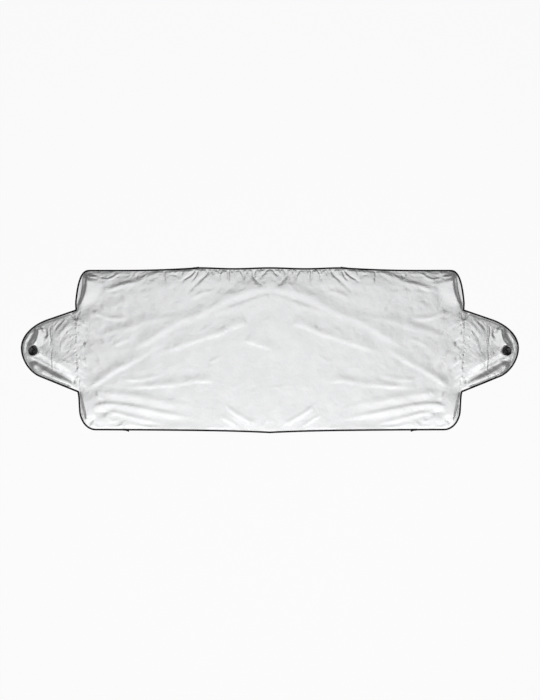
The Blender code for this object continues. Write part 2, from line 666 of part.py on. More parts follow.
def barrel_hole():
    """Radius of the hole in the cloth that the eyelet's barrel passes through."""
    return NECK_RADIUS + CLEARANCE + EYELET_WALL + CLEARANCE


def ring_round_cup(side, radius, count):
    """Points round the eyelet's axis."""
    turn = 2 * math.pi / count
    centre = Vector((side * CUP_X, CUP_Y))
    return [centre + Vector((math.cos(i * turn), math.sin(i * turn))) * radius for i in range(count)]


def spaced(candidates, kept, gap):
    """Adds to kept the candidates that lie at least a gap from every point kept so far."""
    for candidate in candidates:
        place = np.array([candidate[0], candidate[1]], float)
        if np.linalg.norm(np.array(kept) - place, axis=1).min() >= gap:
            kept.append(place)


def loose_points(fixed, inside, extra=()):
    """Mesh points for the folds and the plain cloth between them, where inside says so."""
    kept = [np.array([p[0], p[1]], float) for p in fixed]
    count = len(kept)
    spaced([p for p in extra if inside(p)], kept, MARK_GAP)
    row = [OUTLINE.at(i, TAPE_WIDTH + CALM_RUN) for i in range(len(OUTLINE.points))]
    spaced([p for p in row if inside(p)], kept, ROW_GAP)
    steep_first = sorted(FOLDS, key=lambda fold: -abs(fold.rise))
    marks = [p for fold in steep_first for p in fold.marks()]
    deep = OUTLINE.depth_of(np.array(marks)) > TAPE_WIDTH + MARK_CLEAR
    spaced([p for p, ok in zip(marks, deep) if ok and inside(p)], kept, MARK_GAP)
    across = math.ceil(FLAP_TIP_X / GRID_STEP)
    up = math.ceil(HALF_HEIGHT / GRID_STEP)
    grid = [
        Vector(((i + 0.5 * (j % 2)) * GRID_STEP, j * GRID_STEP))
        for j in range(-up, up + 1)
        for i in range(-across, across + 1)
    ]
    deep = OUTLINE.depth_of(np.array([tuple(p) for p in grid])) > TAPE_WIDTH + GRID_CLEAR
    spaced([p for p, ok in zip(grid, deep) if ok and inside(p)], kept, GRID_GAP)
    return kept[count:]


def make_panel(material):
    """The long panel, from one seam to the other."""
    right_seam, right_under = seam_points(1)
    left_seam, left_under = seam_points(-1)
    top = OUTLINE.span(("notch top", -1), ("notch top", 1))
    bottom = OUTLINE.span(("notch bottom", 1), ("notch bottom", -1))
    sheet = Sheet()
    sheet.add_edge_band(top)
    sheet.add_edge_band(bottom)
    loop = [OUTLINE.at(i, TAPE_WIDTH) for i in top] + right_seam
    loop += [OUTLINE.at(i, TAPE_WIDTH) for i in bottom] + left_seam[::-1]
    edge_x = min(abs(p.x) for p in right_under) - SEAM_LAP / 2

    def inside(p):
        return abs(p[0]) < edge_x and bottom_edge(p[0]) < p[1] < top_edge(p[0])

    fixed = loop + right_under + left_under
    sheet.fill(loop, [right_under, left_under], loose_points(fixed, inside))
    return sheet.build("main_panel", PANEL_LEVEL, material)


def make_flap(side, word, cloth, facing_cloth):
    """One flap and the second layer behind its tip, which is cut to the same triangles."""
    seam, under = seam_points(side)
    ends = (("notch top", 1), ("notch bottom", 1)) if side > 0 else (("notch bottom", -1), ("notch top", -1))
    stations = OUTLINE.span(*ends)
    lip = [OUTLINE.at(i, TAPE_WIDTH) for i in stations]
    loop = lip + (under[::-1] if side > 0 else under)
    hem_marks = (("facing top", side), ("facing bottom", side))
    line_ends = [OUTLINE.at(OUTLINE.marks[mark], TAPE_WIDTH) for mark in hem_marks]
    count = round((line_ends[0] - line_ends[1]).length / SEAM_STEP)
    hem = [line_ends[0].lerp(line_ends[1], i / count) for i in range(count + 1)]
    hole = ring_round_cup(side, barrel_hole(), 16)
    plate = ring_round_cup(side, CUP_PLATE_RADIUS, 12)
    slope = ring_round_cup(side, CUP_PLATE_RADIUS + 0.45 * CUP_TENT_RUN, 12)
    near_x = max(abs(p.x) for p in seam) + SEAM_LAP / 2

    def inside(p):
        return side * p[0] > near_x and FLAP_BOTTOM_Y < p[1] < FLAP_TOP_Y

    sheet = Sheet()
    sheet.add_edge_band(stations)
    band = len(sheet.faces)
    fixed = loop + seam[1:-1] + hem + hole + plate
    loose = loose_points(fixed, inside, slope)
    sheet.fill(loop, [seam[1:-1], hem], plate + [Vector(p) for p in loose], hole)

    tip = Sheet()
    tip.add_edge_band(OUTLINE.span(*(hem_marks if side > 0 else hem_marks[::-1])))
    way = line_ends[0] - line_ends[1]
    for face in sheet.faces[band:]:
        off = sheet.middle(face) - line_ends[1]
        if way.cross(off) * side < 0:
            tip.face([sheet.points[i] for i in face])
    return [
        sheet.build(f"{word}_flap", FLAP_LEVEL, cloth),
        tip.build(f"{word}_tip_facing", FACING_LEVEL, facing_cloth),
    ]


def channel(i):
    """Inner levels of the folded tape at a station: over the top layer and under the lowest."""
    count = len(OUTLINE.points)
    i %= count
    side = 1 if OUTLINE.points[i].x > 0 else -1
    flap = sorted((OUTLINE.marks[("notch top", side)], OUTLINE.marks[("notch bottom", side)]))
    facing = sorted((OUTLINE.marks[("facing top", side)], OUTLINE.marks[("facing bottom", side)]))
    on_flap = flap[0] <= i <= flap[1]
    beside_notch = flap[0] <= i <= flap[0] + 1 or flap[1] - 1 <= i <= flap[1]
    top = PANEL_LEVEL if beside_notch or not on_flap else FLAP_LEVEL
    bottom = FLAP_LEVEL if on_flap else PANEL_LEVEL
    if facing[0] - 1 <= i <= facing[1] + 1:
        bottom = FACING_LEVEL
    return top + CLOTH + CLEARANCE, bottom - CLEARANCE


def make_tape(name, stations, material, sleeves=False):
    """A length of tape folded over the cloth's edge. With sleeves, each end covers the next
    tape's end: the first three and the last three stations are a size larger."""
    cut_edge = heights([OUTLINE.at(i, CUT_EDGE_DEPTH) for i in stations])
    lip = heights([OUTLINE.at(i, TAPE_WIDTH) for i in stations])
    mesh = bmesh.new()
    rows = []
    for k, (i, z_cut, z_lip) in enumerate(zip(stations, cut_edge, lip)):
        from_end = min(k, len(stations) - 1 - k)
        grow = SLEEVE_GROWTH if sleeves and from_end < 3 else 0.0
        flare = 0.0
        if sleeves and from_end == 0:
            flare = TOP_JOIN_FLARE if OUTLINE.points[i % len(OUTLINE.points)].y > 0 else BOTTOM_JOIN_FLARE
        top, bottom = channel(i)
        top, bottom = top + grow, bottom - grow
        fold = -grow - flare
        section = [
            (TAPE_WIDTH, z_lip + top + TAPE),
            (fold + 0.8 * TAPE, z_cut + top + TAPE),
            (fold, z_cut + top + 0.2 * TAPE),
            (fold, z_cut + bottom - 0.2 * TAPE),
            (fold + 0.8 * TAPE, z_cut + bottom - TAPE),
            (TAPE_WIDTH, z_lip + bottom - TAPE),
            (TAPE_WIDTH, z_lip + bottom),
            (fold + TAPE, z_cut + bottom),
            (fold + TAPE, z_cut + top),
            (TAPE_WIDTH, z_lip + top),
        ]
        rows.append([mesh.verts.new((*OUTLINE.at(i, depth), z)) for depth, z in section])
    count = len(rows[0])
    depths = [depth for depth, _ in section]
    for row, following in zip(rows, rows[1:]):
        for a in range(count):
            b = (a + 1) % count
            # Split each strip as the cloth's own edge band is split, so that their gap is even
            if depths[a] <= depths[b]:
                mesh.faces.new((row[a], following[b], row[b]))
                mesh.faces.new((row[a], following[a], following[b]))
            else:
                mesh.faces.new((row[a], following[a], row[b]))
                mesh.faces.new((following[a], following[b], row[b]))
    for row in (rows[0], rows[-1]):
        for corners in ((0, 1, 8, 9), (1, 2, 8), (2, 3, 7, 8), (3, 4, 7), (4, 5, 6, 7)):
            mesh.faces.new([row[k] for k in corners])
    bmesh.ops.recalc_face_normals(mesh, faces=mesh.faces)
    return finish_object(name, mesh, material)


def make_tapes(material):
    """The four lengths of tape."""
    top = OUTLINE.span(("top tape end", -1), ("top tape end", 1))
    right = OUTLINE.span(("top join", 1), ("bottom join", 1))
    bottom = OUTLINE.span(("bottom tape end", 1), ("bottom tape end", -1))
    left = OUTLINE.span(("bottom join", -1), ("top join", -1))
    return [
        make_tape("top_edge_tape", top, material),
        make_tape("right_edge_tape", right, material, sleeves=True),
        make_tape("bottom_edge_tape", bottom, material),
        make_tape("left_edge_tape", left, material, sleeves=True),
    ]


def turned(name, profile, side, material):
    """A round piece on the cup's leaning axis, from a closed (radius, height) profile."""
    mesh = bmesh.new()
    verts = [mesh.verts.new((r, 0, z)) for r, z in profile]
    edges = [mesh.edges.new((a, b)) for a, b in zip(verts, verts[1:])]
    if profile[0][0] > 0:
        edges.append(mesh.edges.new((verts[-1], verts[0])))
    bmesh.ops.spin(
        mesh, geom=verts + edges, cent=(0, 0, 0), axis=(0, 0, 1),
        angle=2 * math.pi, steps=TURN_STEPS, use_merge=True,
    )
    bmesh.ops.remove_doubles(mesh, verts=mesh.verts, dist=1e-6)
    bmesh.ops.recalc_face_normals(mesh, faces=mesh.faces)
    made = finish_object(name, mesh, material)
    made.location = (side * CUP_X, CUP_Y, cup_seat_height())
    made.rotation_euler = (0, side * CUP_LEAN, 0)
    return made


def make_suction_cup(side, word, material):
    """The cup, its neck and the head behind the flap, moulded in one."""
    foot = FLAP_LEVEL + CLOTH + 2 * CLEARANCE + EYELET_FLANGE
    rim = foot + CUP_DEPTH
    bowl = rim - BOWL_DEPTH
    head_top = head_bottom() + HEAD_HEIGHT
    lip = RIM_RADIUS - RIM_LIP
    profile = [
        (0, bowl),
        (0.30 * lip, bowl + 0.06 * BOWL_DEPTH),
        (0.58 * lip, bowl + 0.28 * BOWL_DEPTH),
        (0.82 * lip, bowl + 0.62 * BOWL_DEPTH),
        (lip, rim),
        (RIM_RADIUS, rim),
        (RIM_RADIUS, rim - 0.08 * CUP_DEPTH),
        (0.80 * RIM_RADIUS, foot + 0.58 * CUP_DEPTH),
        (0.58 * RIM_RADIUS, foot + 0.36 * CUP_DEPTH),
        (FOOT_RADIUS + 0.001, foot + 0.22 * CUP_DEPTH),
        (FOOT_RADIUS, foot + 0.12 * CUP_DEPTH),
        (FOOT_RADIUS, foot),
        (NECK_RADIUS, foot),
        (NECK_RADIUS, head_top),
        (0.92 * HEAD_RADIUS, head_top),
        (HEAD_RADIUS, head_top - 0.2 * HEAD_HEIGHT),
        (HEAD_RADIUS, head_bottom() + 0.2 * HEAD_HEIGHT),
        (0.5 * HEAD_RADIUS, head_bottom()),
        (0, head_bottom()),
    ]
    return turned(f"{word}_suction_cup", profile, side, material)


def make_eyelet(side, word, material):
    """The eyelet, whose end is rolled over behind its washer, and the washer."""
    inner = NECK_RADIUS + CLEARANCE
    outer = inner + EYELET_WALL
    face = FLAP_LEVEL + CLOTH + CLEARANCE
    washer_top = FACING_LEVEL - CLEARANCE
    washer_bottom = washer_top - EYELET_FLANGE
    roll_top = washer_bottom - CLEARANCE
    roll_bottom = roll_top - EYELET_FLANGE
    eyelet = [
        (inner, face + 0.5 * EYELET_FLANGE),
        (outer, face + EYELET_FLANGE),
        (0.93 * FLANGE_RADIUS, face + EYELET_FLANGE),
        (FLANGE_RADIUS, face + 0.5 * EYELET_FLANGE),
        (FLANGE_RADIUS, face),
        (outer, face),
        (outer, roll_top),
        (ROLL_RADIUS, roll_top),
        (ROLL_RADIUS, roll_bottom + 0.4 * EYELET_FLANGE),
        (0.9 * ROLL_RADIUS, roll_bottom),
        (inner, roll_bottom),
    ]
    hole = outer + CLEARANCE
    washer = [
        (hole, washer_top),
        (FLANGE_RADIUS, washer_top),
        (FLANGE_RADIUS, washer_bottom + 0.4 * EYELET_FLANGE),
        (0.93 * FLANGE_RADIUS, washer_bottom),
        (hole, washer_bottom),
    ]
    return [
        turned(f"{word}_eyelet", eyelet, side, material),
        turned(f"{word}_eyelet_washer", washer, side, material),
    ]


def main():
    """Builds the shade."""
    for old in list(bpy.data.objects):
        bpy.data.objects.remove(old)
    silver = make_material("silver_cloth", (0.74, 0.745, 0.75), 0.42, 0.75)
    backing = make_material("facing_cloth", (0.60, 0.605, 0.61), 0.60, 0.30)
    tape = make_material("edge_tape", (0.018, 0.018, 0.019), 0.75, 0.0)
    rubber = make_material("cup_rubber", (0.014, 0.014, 0.015), 0.28, 0.0)
    metal = make_material("eyelet_metal", (0.62, 0.61, 0.60), 0.30, 1.0)
    make_panel(silver)
    make_tapes(tape)
    for side, word in ((1, "right"), (-1, "left")):
        make_flap(side, word, silver, backing)
        make_suction_cup(side, word, rubber)
        make_eyelet(side, word, metal)


main()
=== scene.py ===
"""Looks of an outside windshield shade of silver-coated cloth, lying face up on a pale floor.

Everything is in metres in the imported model's frame: X runs along the shade, +Y to its upper edge
and +Z out of its silver face. The cloths, the edge tape, the cups and the stitching are modelled
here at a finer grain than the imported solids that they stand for.
"""

import logging
import math
from collections.abc import Callable, Iterable, Sequence
from dataclasses import dataclass, field
from enum import Enum
from typing import ClassVar

import bmesh
import bpy
import numpy as np
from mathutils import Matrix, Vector, noise
from mathutils.geometry import delaunay_2d_cdt
from mathutils.kdtree import KDTree

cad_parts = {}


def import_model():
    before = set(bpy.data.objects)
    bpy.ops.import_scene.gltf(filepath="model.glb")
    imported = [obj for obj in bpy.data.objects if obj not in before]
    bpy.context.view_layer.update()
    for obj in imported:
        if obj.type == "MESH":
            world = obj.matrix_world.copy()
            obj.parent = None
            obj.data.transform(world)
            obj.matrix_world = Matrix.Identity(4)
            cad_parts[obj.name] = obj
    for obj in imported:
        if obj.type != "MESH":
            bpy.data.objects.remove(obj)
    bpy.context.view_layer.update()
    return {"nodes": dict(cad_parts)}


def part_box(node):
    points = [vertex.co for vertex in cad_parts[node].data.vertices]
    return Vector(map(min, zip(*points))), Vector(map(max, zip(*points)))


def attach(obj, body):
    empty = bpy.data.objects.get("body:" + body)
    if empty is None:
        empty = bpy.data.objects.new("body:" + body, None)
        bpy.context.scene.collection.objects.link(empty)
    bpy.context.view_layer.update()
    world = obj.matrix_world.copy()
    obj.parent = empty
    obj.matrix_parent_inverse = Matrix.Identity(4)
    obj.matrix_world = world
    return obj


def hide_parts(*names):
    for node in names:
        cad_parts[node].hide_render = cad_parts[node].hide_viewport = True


log = logging.getLogger("shade")

MM = 0.001
SHARP_TURN = math.radians(50)


class Side(Enum):
    """Which end of the shade a piece belongs to; the value is the sign of its X."""

    LEFT = -1
    RIGHT = 1

    @property
    def word(self) -> str:
        """The side's name in lower case."""
        return self.name.lower()


class Layer(Enum):
    """The cloths, with the level of each one's underside over the flap's, in layer rises."""

    PANEL = 1
    FLAP = 0
    FACING = -1


class Held(Enum):
    """How much of a fold reaches the taped edge."""

    CALM = "fades out beside the tape"
    EDGE = "lifts the tape too"


@dataclass(frozen=True)
class ShadeSizes:
    """Driving sizes of the shade, in metres.

    The pulls shape the outline's round corners: how far each curve's handles lie from its ends, in
    shares of the corner's width and height.
    """

    half_width: float = 0.750
    half_height: float = 0.3197
    flap_tip_x: float = 0.9586
    top_sag: float = 3.5 * MM
    top_crown: float = 10.2 * MM
    top_fall_run: float = 0.300
    bottom_point: float = 11.4 * MM
    bottom_point_run: float = 0.220
    upper_corner: tuple[float, float] = (0.055, 0.129)
    lower_corner: tuple[float, float] = (0.066, 0.076)
    lower_side_inset: float = 15.2 * MM
    flap_tip_y: float = 8 * MM
    flap_top: tuple[float, float] = (1.2 * MM, 0.1563)
    flap_top_run: float = 0.1074
    flap_top_slope: float = math.radians(19.0)
    flap_bottom: tuple[float, float] = (9.2 * MM, -0.1621)
    flap_bottom_run: float = 0.1461
    flap_bottom_slope: float = math.radians(22.2)
    upper_pull: tuple[float, float, float] = (0.64, 0.15, 0.65)
    tip_pull: tuple[float, float] = (0.5, 0.3)
    side_pull: tuple[float, float, float] = (0.3, 0.25, 0.4)
    lower_pull: tuple[float, float, float] = (0.04, 0.5, 0.6)
    cloth: float = 0.5 * MM
    clearance: float = 0.3 * MM
    tape: float = 0.6 * MM
    tape_width: float = 6.6 * MM
    seam_lap: float = 12 * MM
    facing_depth: float = 0.1236
    top_join_x: float = 0.273
    bottom_join_x: float = 0.542
    join_lap: float = 12 * MM
    join_taper: float = 8 * MM
    top_join_flare: float = 1.0 * MM
    bottom_join_flare: float = 4.2 * MM
    cup_from_tip: float = 50.8 * MM
    cup_y: float = -3 * MM
    cup_lean: float = math.radians(12.0)
    cup_plate_radius: float = 9 * MM
    cup_tent_run: float = 26 * MM
    puff: float = 3 * MM
    puff_run: float = 70 * MM
    edge_puff: float = 1.2 * MM
    edge_puff_run: float = 9 * MM
    calm_run: float = 4 * MM

    @classmethod
    def from_frame(cls) -> "ShadeSizes":
        """Takes the outline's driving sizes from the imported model.

        Returns:
            The sizes, with the outline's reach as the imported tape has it.
        """
        low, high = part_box("right_edge_tape")
        bottom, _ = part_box("bottom_edge_tape")
        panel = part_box("main_panel")[1]
        return cls(
            half_width=panel.x + cls.tape + cls.clearance,
            half_height=-bottom.y,
            flap_tip_x=high.x,
        )

    @property
    def facing_x(self) -> float:
        """Where the second layer behind the flap's tip begins."""
        return self.flap_tip_x - self.facing_depth

    @property
    def cup_x(self) -> float:
        """Distance of each cup's eyelet from the middle of the shade."""
        return self.flap_tip_x - self.cup_from_tip

    @property
    def layer_rise(self) -> float:
        """Height from one cloth's underside to that of the cloth on it."""
        return self.cloth + self.clearance

    @property
    def cut_depth(self) -> float:
        """How far the cloth's cut edge lies inside the tape's outer fold."""
        return self.tape + self.clearance

    @property
    def sleeve_growth(self) -> float:
        """How much larger the side tape is where it covers another tape's end."""
        return self.tape + self.clearance

    def level(self, layer: Layer) -> float:
        """Height of a cloth's underside over the flap's underside."""
        return layer.value * self.layer_rise

    def top_edge(self, x: float) -> float:
        """The finished top edge, with crests at the middle and at the tape joins.

        Args:
            x: the place along it.

        Returns:
            Its Y there.
        """
        if abs(x) <= self.top_join_x:
            return self.half_height - self.top_sag * math.sin(math.pi * abs(x) / self.top_join_x) ** 2
        left = 1 - min(1.0, (abs(x) - self.top_join_x) / self.top_fall_run)
        return self.half_height - self.top_crown * (1 - left * left)

    def bottom_edge(self, x: float) -> float:
        """Height of the finished bottom edge at x, which comes to a blunt point."""
        return -self.half_height + self.bottom_point * (1 - math.exp(-abs(x) / self.bottom_point_run))


def smooth(share: np.ndarray | float) -> np.ndarray:
    """0 below 0, 1 above 1 and an S-curve between."""
    t = np.clip(share, 0.0, 1.0)
    return t * t * (3 - 2 * t)


def bezier(handles: Sequence[Vector | np.ndarray], t: float) -> Vector | np.ndarray:
    """A point on a cubic curve.

    Args:
        handles: the curve's four handles.
        t: how far along it, from 0 to 1.

    Returns:
        The point.
    """
    a, b, c, d = handles
    s = 1 - t
    return a * s**3 + b * (3 * s * s * t) + c * (3 * s * t * t) + d * t**3


class Outline:
    """The finished outline as a closed, clockwise run of stations with named marks."""

    notch_step = 10 * MM

    def __init__(self, sizes: ShadeSizes, straight: float = 6 * MM, curved: float = 4.5 * MM) -> None:
        """Lays out the stations.

        Args:
            sizes: the shade's sizes.
            straight: spacing of the stations on straight edges.
            curved: spacing on curves.
        """
        self.sizes = sizes
        self.straight = straight
        self.curved = curved
        right = self._right_half()
        points = [p for p, _ in right] + [Vector((0, sizes.bottom_edge(0)))]
        self.marks = {(mark, Side.RIGHT): i for i, (_, mark) in enumerate(right) if mark}
        for point, mark in reversed(right[1:]):
            if mark:
                self.marks[(mark, Side.LEFT)] = len(points)
            points.append(Vector((-point.x, point.y)))
        self.points = np.array([tuple(p) for p in points])
        self.inward = self._inward_ways()
        self.tree = self.ring_tree(self.points, 1.5 * MM)

    def _right_half(self) -> list[tuple[Vector, str]]:
        """Lays out the right half, clockwise from the top middle.

        Returns:
            The stations' points, each with its mark or ''.
        """
        s = self.sizes
        notch_top = Vector((s.half_width - s.flap_top[0], s.flap_top[1]))
        notch_bottom = Vector((s.half_width - s.flap_bottom[0], s.flap_bottom[1]))
        down_flap = Vector((math.cos(s.flap_top_slope), -math.sin(s.flap_top_slope)))
        up_flap = Vector((math.cos(s.flap_bottom_slope), math.sin(s.flap_bottom_slope)))
        flap_top = notch_top + down_flap * (s.flap_top_run / down_flap.x)
        flap_bottom = notch_bottom + up_flap * (s.flap_bottom_run / up_flap.x)
        facing_top = notch_top + down_flap * ((s.facing_x - notch_top.x) / down_flap.x)
        facing_bottom = notch_bottom + up_flap * ((s.facing_x - notch_bottom.x) / up_flap.x)
        past_top = notch_top + down_flap * self.notch_step
        past_bottom = notch_bottom + up_flap * self.notch_step
        tip = Vector((s.flap_tip_x, s.flap_tip_y))
        run, drop = s.upper_corner
        shoulder_x = s.half_width - run
        shoulder = Vector((shoulder_x, s.top_edge(shoulder_x)))
        side_top = Vector((s.half_width, shoulder.y - drop))
        foot_run, foot_rise = s.lower_corner
        foot_x = s.half_width - s.lower_side_inset - foot_run
        foot = Vector((foot_x, s.bottom_edge(foot_x)))
        side_bottom = Vector((s.half_width - s.lower_side_inset, foot.y + foot_rise))
        side_drop = notch_bottom.y - side_bottom.y
        out, above, below = s.side_pull
        side_x = side_bottom.x + out * (notch_bottom.x - side_bottom.x)
        side = (
            notch_bottom, Vector((side_x, notch_bottom.y - above * side_drop)),
            Vector((side_x, side_bottom.y + below * side_drop)), side_bottom,
        )
        along, back, up = s.upper_pull
        upper = (
            shoulder, shoulder + Vector((along * run, 0)),
            side_top + Vector((-back * run, up * drop)), side_top,
        )
        above, below = s.tip_pull[0] * s.flap_top_run, s.tip_pull[1] * s.flap_bottom_run
        tip_top = (flap_top, flap_top + down_flap * above, tip + Vector((0, above)), tip)
        tip_bottom = (tip, tip - Vector((0, below)), flap_bottom + up_flap * below, flap_bottom)
        back, down, along = s.lower_pull
        lower = (
            side_bottom, side_bottom + Vector((-back * foot_run, -down * foot_rise)),
            foot + Vector((along * foot_run, 0)), foot,
        )
        lap = s.join_lap / 2
        joined_top = s.top_join_x + s.join_lap
        lapped_top = joined_top + lap
        tapered_top = lapped_top + s.join_taper
        joined_bottom = s.bottom_join_x + s.join_lap
        lapped_bottom = joined_bottom + lap
        tapered_bottom = lapped_bottom + s.join_taper
        pieces: list[tuple[str, Callable[[float], Vector], float]] = [
            ("", self._along(s.top_edge, 0, s.top_join_x), self.straight),
            ("top join", self._along(s.top_edge, s.top_join_x, joined_top), s.join_lap),
            ("top tape end", self._along(s.top_edge, joined_top, lapped_top), s.join_lap),
            ("", self._along(s.top_edge, lapped_top, tapered_top), s.join_lap),
            ("", self._along(s.top_edge, tapered_top, shoulder.x), self.straight),
            ("", lambda t: bezier(upper, t), self.curved),
            ("", lambda t: side_top.lerp(notch_top, t), self.straight),
            ("notch top", lambda t: notch_top.lerp(past_top, t), self.notch_step),
            ("", lambda t: past_top.lerp(facing_top, t), self.straight),
            ("facing top", lambda t: facing_top.lerp(flap_top, t), self.straight),
            ("", lambda t: bezier(tip_top, t), self.curved),
            ("", lambda t: bezier(tip_bottom, t), self.curved),
            ("", lambda t: flap_bottom.lerp(facing_bottom, t), self.straight),
            ("facing bottom", lambda t: facing_bottom.lerp(past_bottom, t), self.straight),
            ("", lambda t: past_bottom.lerp(notch_bottom, t), self.notch_step),
            ("notch bottom", lambda t: bezier(side, t), self.straight),
            ("", lambda t: bezier(lower, t), self.curved),
            ("", self._along(s.bottom_edge, foot.x, tapered_bottom), self.straight),
            ("", self._along(s.bottom_edge, tapered_bottom, lapped_bottom), s.join_lap),
            ("", self._along(s.bottom_edge, lapped_bottom, joined_bottom), s.join_lap),
            ("bottom tape end", self._along(s.bottom_edge, joined_bottom, s.bottom_join_x), s.join_lap),
            ("bottom join", self._along(s.bottom_edge, s.bottom_join_x, 0), self.straight),
        ]
        stations = []
        for mark, curve, step in pieces:
            count = max(1, round((curve(1) - curve(0)).length / step))
            stations += [(curve(i / count), mark if i == 0 else "") for i in range(count)]
        return stations

    @staticmethod
    def _along(edge: Callable[[float], float], start: float, end: float) -> Callable[[float], Vector]:
        """A curve that runs along the top or bottom edge from one X to another."""
        return lambda t: Vector((start + (end - start) * t, edge(start + (end - start) * t)))

    def _inward_ways(self) -> np.ndarray:
        """The ways from the edge into the cloth, lengthened where the edge turns.

        Returns:
            The way at each station, one row each.
        """
        before = self.points - np.roll(self.points, 1, axis=0)
        after = np.roll(self.points, -1, axis=0) - self.points
        sides = []
        for way in (before, after):
            way = way / np.linalg.norm(way, axis=1, keepdims=True)
            sides.append(np.stack([way[:, 1], -way[:, 0]], axis=1))
        middle = sides[0] + sides[1]
        middle /= np.linalg.norm(middle, axis=1, keepdims=True)
        return middle / (middle * sides[0]).sum(axis=1, keepdims=True)

    @staticmethod
    def ring_tree(ring: np.ndarray, step: float) -> KDTree:
        """A search tree of close points along a closed ring.

        Args:
            ring: the ring's corners, one row each.
            step: the longest distance between two points.

        Returns:
            The tree.
        """
        spots = []
        for a, b in zip(ring, np.roll(ring, -1, axis=0)):
            count = max(1, math.ceil(float(np.linalg.norm(b - a)) / step))
            spots += [a + (b - a) * (i / count) for i in range(count)]
        tree = KDTree(len(spots))
        for i, spot in enumerate(spots):
            tree.insert((spot[0], spot[1], 0.0), i)
        tree.balance()
        return tree

    def at(self, stations: Sequence[int], depth: float) -> np.ndarray:
        """Points that lie a depth inside the finished edge at the given stations."""
        index = np.array(stations) % len(self.points)
        return self.points[index] + self.inward[index] * depth

    def span(self, start: tuple[str, Side], end: tuple[str, Side]) -> list[int]:
        """Station numbers from one mark to another, clockwise, both included."""
        first, last = self.marks[start], self.marks[end]
        return list(range(first, last + 1 if last > first else last + len(self.points) + 1))

    def depth_of(self, points: np.ndarray) -> np.ndarray:
        """Distance of each point from the finished edge."""
        return np.array([self.tree.find((p[0], p[1], 0.0))[2] for p in points])

    def round_span(self, part: str, side: Side) -> list[int]:
        """Stations round a flap from "notch" to notch, or round its tip over its "facing"."""
        ends = [(f"{part} top", side), (f"{part} bottom", side)]
        return self.span(*(ends if side is Side.RIGHT else ends[::-1]))


@dataclass(frozen=True)
class Fold:
    """A ridge in the cloth, or a groove where rise is negative, along a smooth line.

    Attributes:
        line: points in shares of the panel's half width and half height.
        rise: height in millimetres.
        slopes: widths in millimetres of the slopes to the left and right of the line.
        ends: shares of the length over which the fold fades at its start and end.
        soft: how round the crest is, as a share of the slopes' width.
        held: whether the fold lifts the tape too.
        mirrored: whether the other half has the same fold.
        end_width: width of the slopes at a faded end, as a share.
    """

    line: tuple[tuple[float, float], ...]
    rise: float
    slopes: tuple[float, float]
    ends: tuple[float, float] = (0.35, 0.35)
    soft: float = 0.10
    held: Held = Held.CALM
    mirrored: bool = True
    end_width: ClassVar[float] = 0.4

    def twin(self) -> "Fold":
        """The same fold on the other half."""
        line = tuple((-u, v) for u, v in self.line)
        return Fold(line, self.rise, self.slopes[::-1], self.ends, self.soft, self.held, self.mirrored)

    def path(self, sizes: ShadeSizes, pieces: int = 6) -> np.ndarray:
        """The smooth line through the fold's points, in metres.

        Args:
            sizes: the shade's sizes.
            pieces: straight pieces between two points.

        Returns:
            Points along the line, one row each.
        """
        scale = np.array([sizes.half_width, sizes.half_height])
        spots = [np.array(spot) * scale for spot in self.line]
        ends = [2 * spots[0] - spots[1], *spots, 2 * spots[-1] - spots[-2]]
        line = []
        for p0, p1, p2, p3 in zip(ends, ends[1:], ends[2:], ends[3:]):
            handles = (p1, p1 + (p2 - p0) / 6, p2 - (p3 - p1) / 6, p2)
            line += [bezier(handles, i / pieces) for i in range(pieces)]
        return np.array([*line, spots[-1]])

    def heights(self, points: np.ndarray, sizes: ShadeSizes) -> np.ndarray:
        """What the fold adds at each point.

        Args:
            points: places in the plane, one row each.
            sizes: the shade's sizes.

        Returns:
            A height in metres for each point.
        """
        line = self.path(sizes)
        reach = max(self.slopes) * MM
        near = np.flatnonzero(
            (points > line.min(axis=0) - reach).all(axis=1) & (points < line.max(axis=0) + reach).all(axis=1)
        )
        added = np.zeros(len(points))
        if not len(near):
            return added
        spots = points[near]
        steps = np.diff(line, axis=0)
        lengths = np.linalg.norm(steps, axis=1)
        before = np.concatenate([[0.0], np.cumsum(lengths)])
        nearest = np.full(len(near), np.inf)
        share = np.zeros(len(near))
        on_left = np.zeros(len(near), bool)
        for start, step, length, gone in zip(line, steps, lengths, before):
            away = spots - start
            t = np.clip(away @ step / length**2, 0.0, 1.0)
            distance = np.linalg.norm(away - t[:, None] * step, axis=1)
            closer = distance < nearest
            nearest = np.where(closer, distance, nearest)
            share = np.where(closer, (gone + t * length) / before[-1], share)
            on_left = np.where(closer, step[0] * away[:, 1] > step[1] * away[:, 0], on_left)
        strength = np.ones(len(near))
        if self.ends[0] > 0:
            strength *= smooth(share / self.ends[0])
        if self.ends[1] > 0:
            strength *= smooth((1 - share) / self.ends[1])
        spread = self.end_width + (1 - self.end_width) * strength
        width = np.where(on_left, self.slopes[0], self.slopes[1]) * MM * spread
        q = nearest / width
        q = (np.sqrt(q * q + self.soft**2) - self.soft) / (math.sqrt(1 + self.soft**2) - self.soft)
        q = np.clip(q, 0.0, 1.0)
        added[near] = self.rise * MM * strength * (1 - q) ** 2 * (1 + q)
        return added


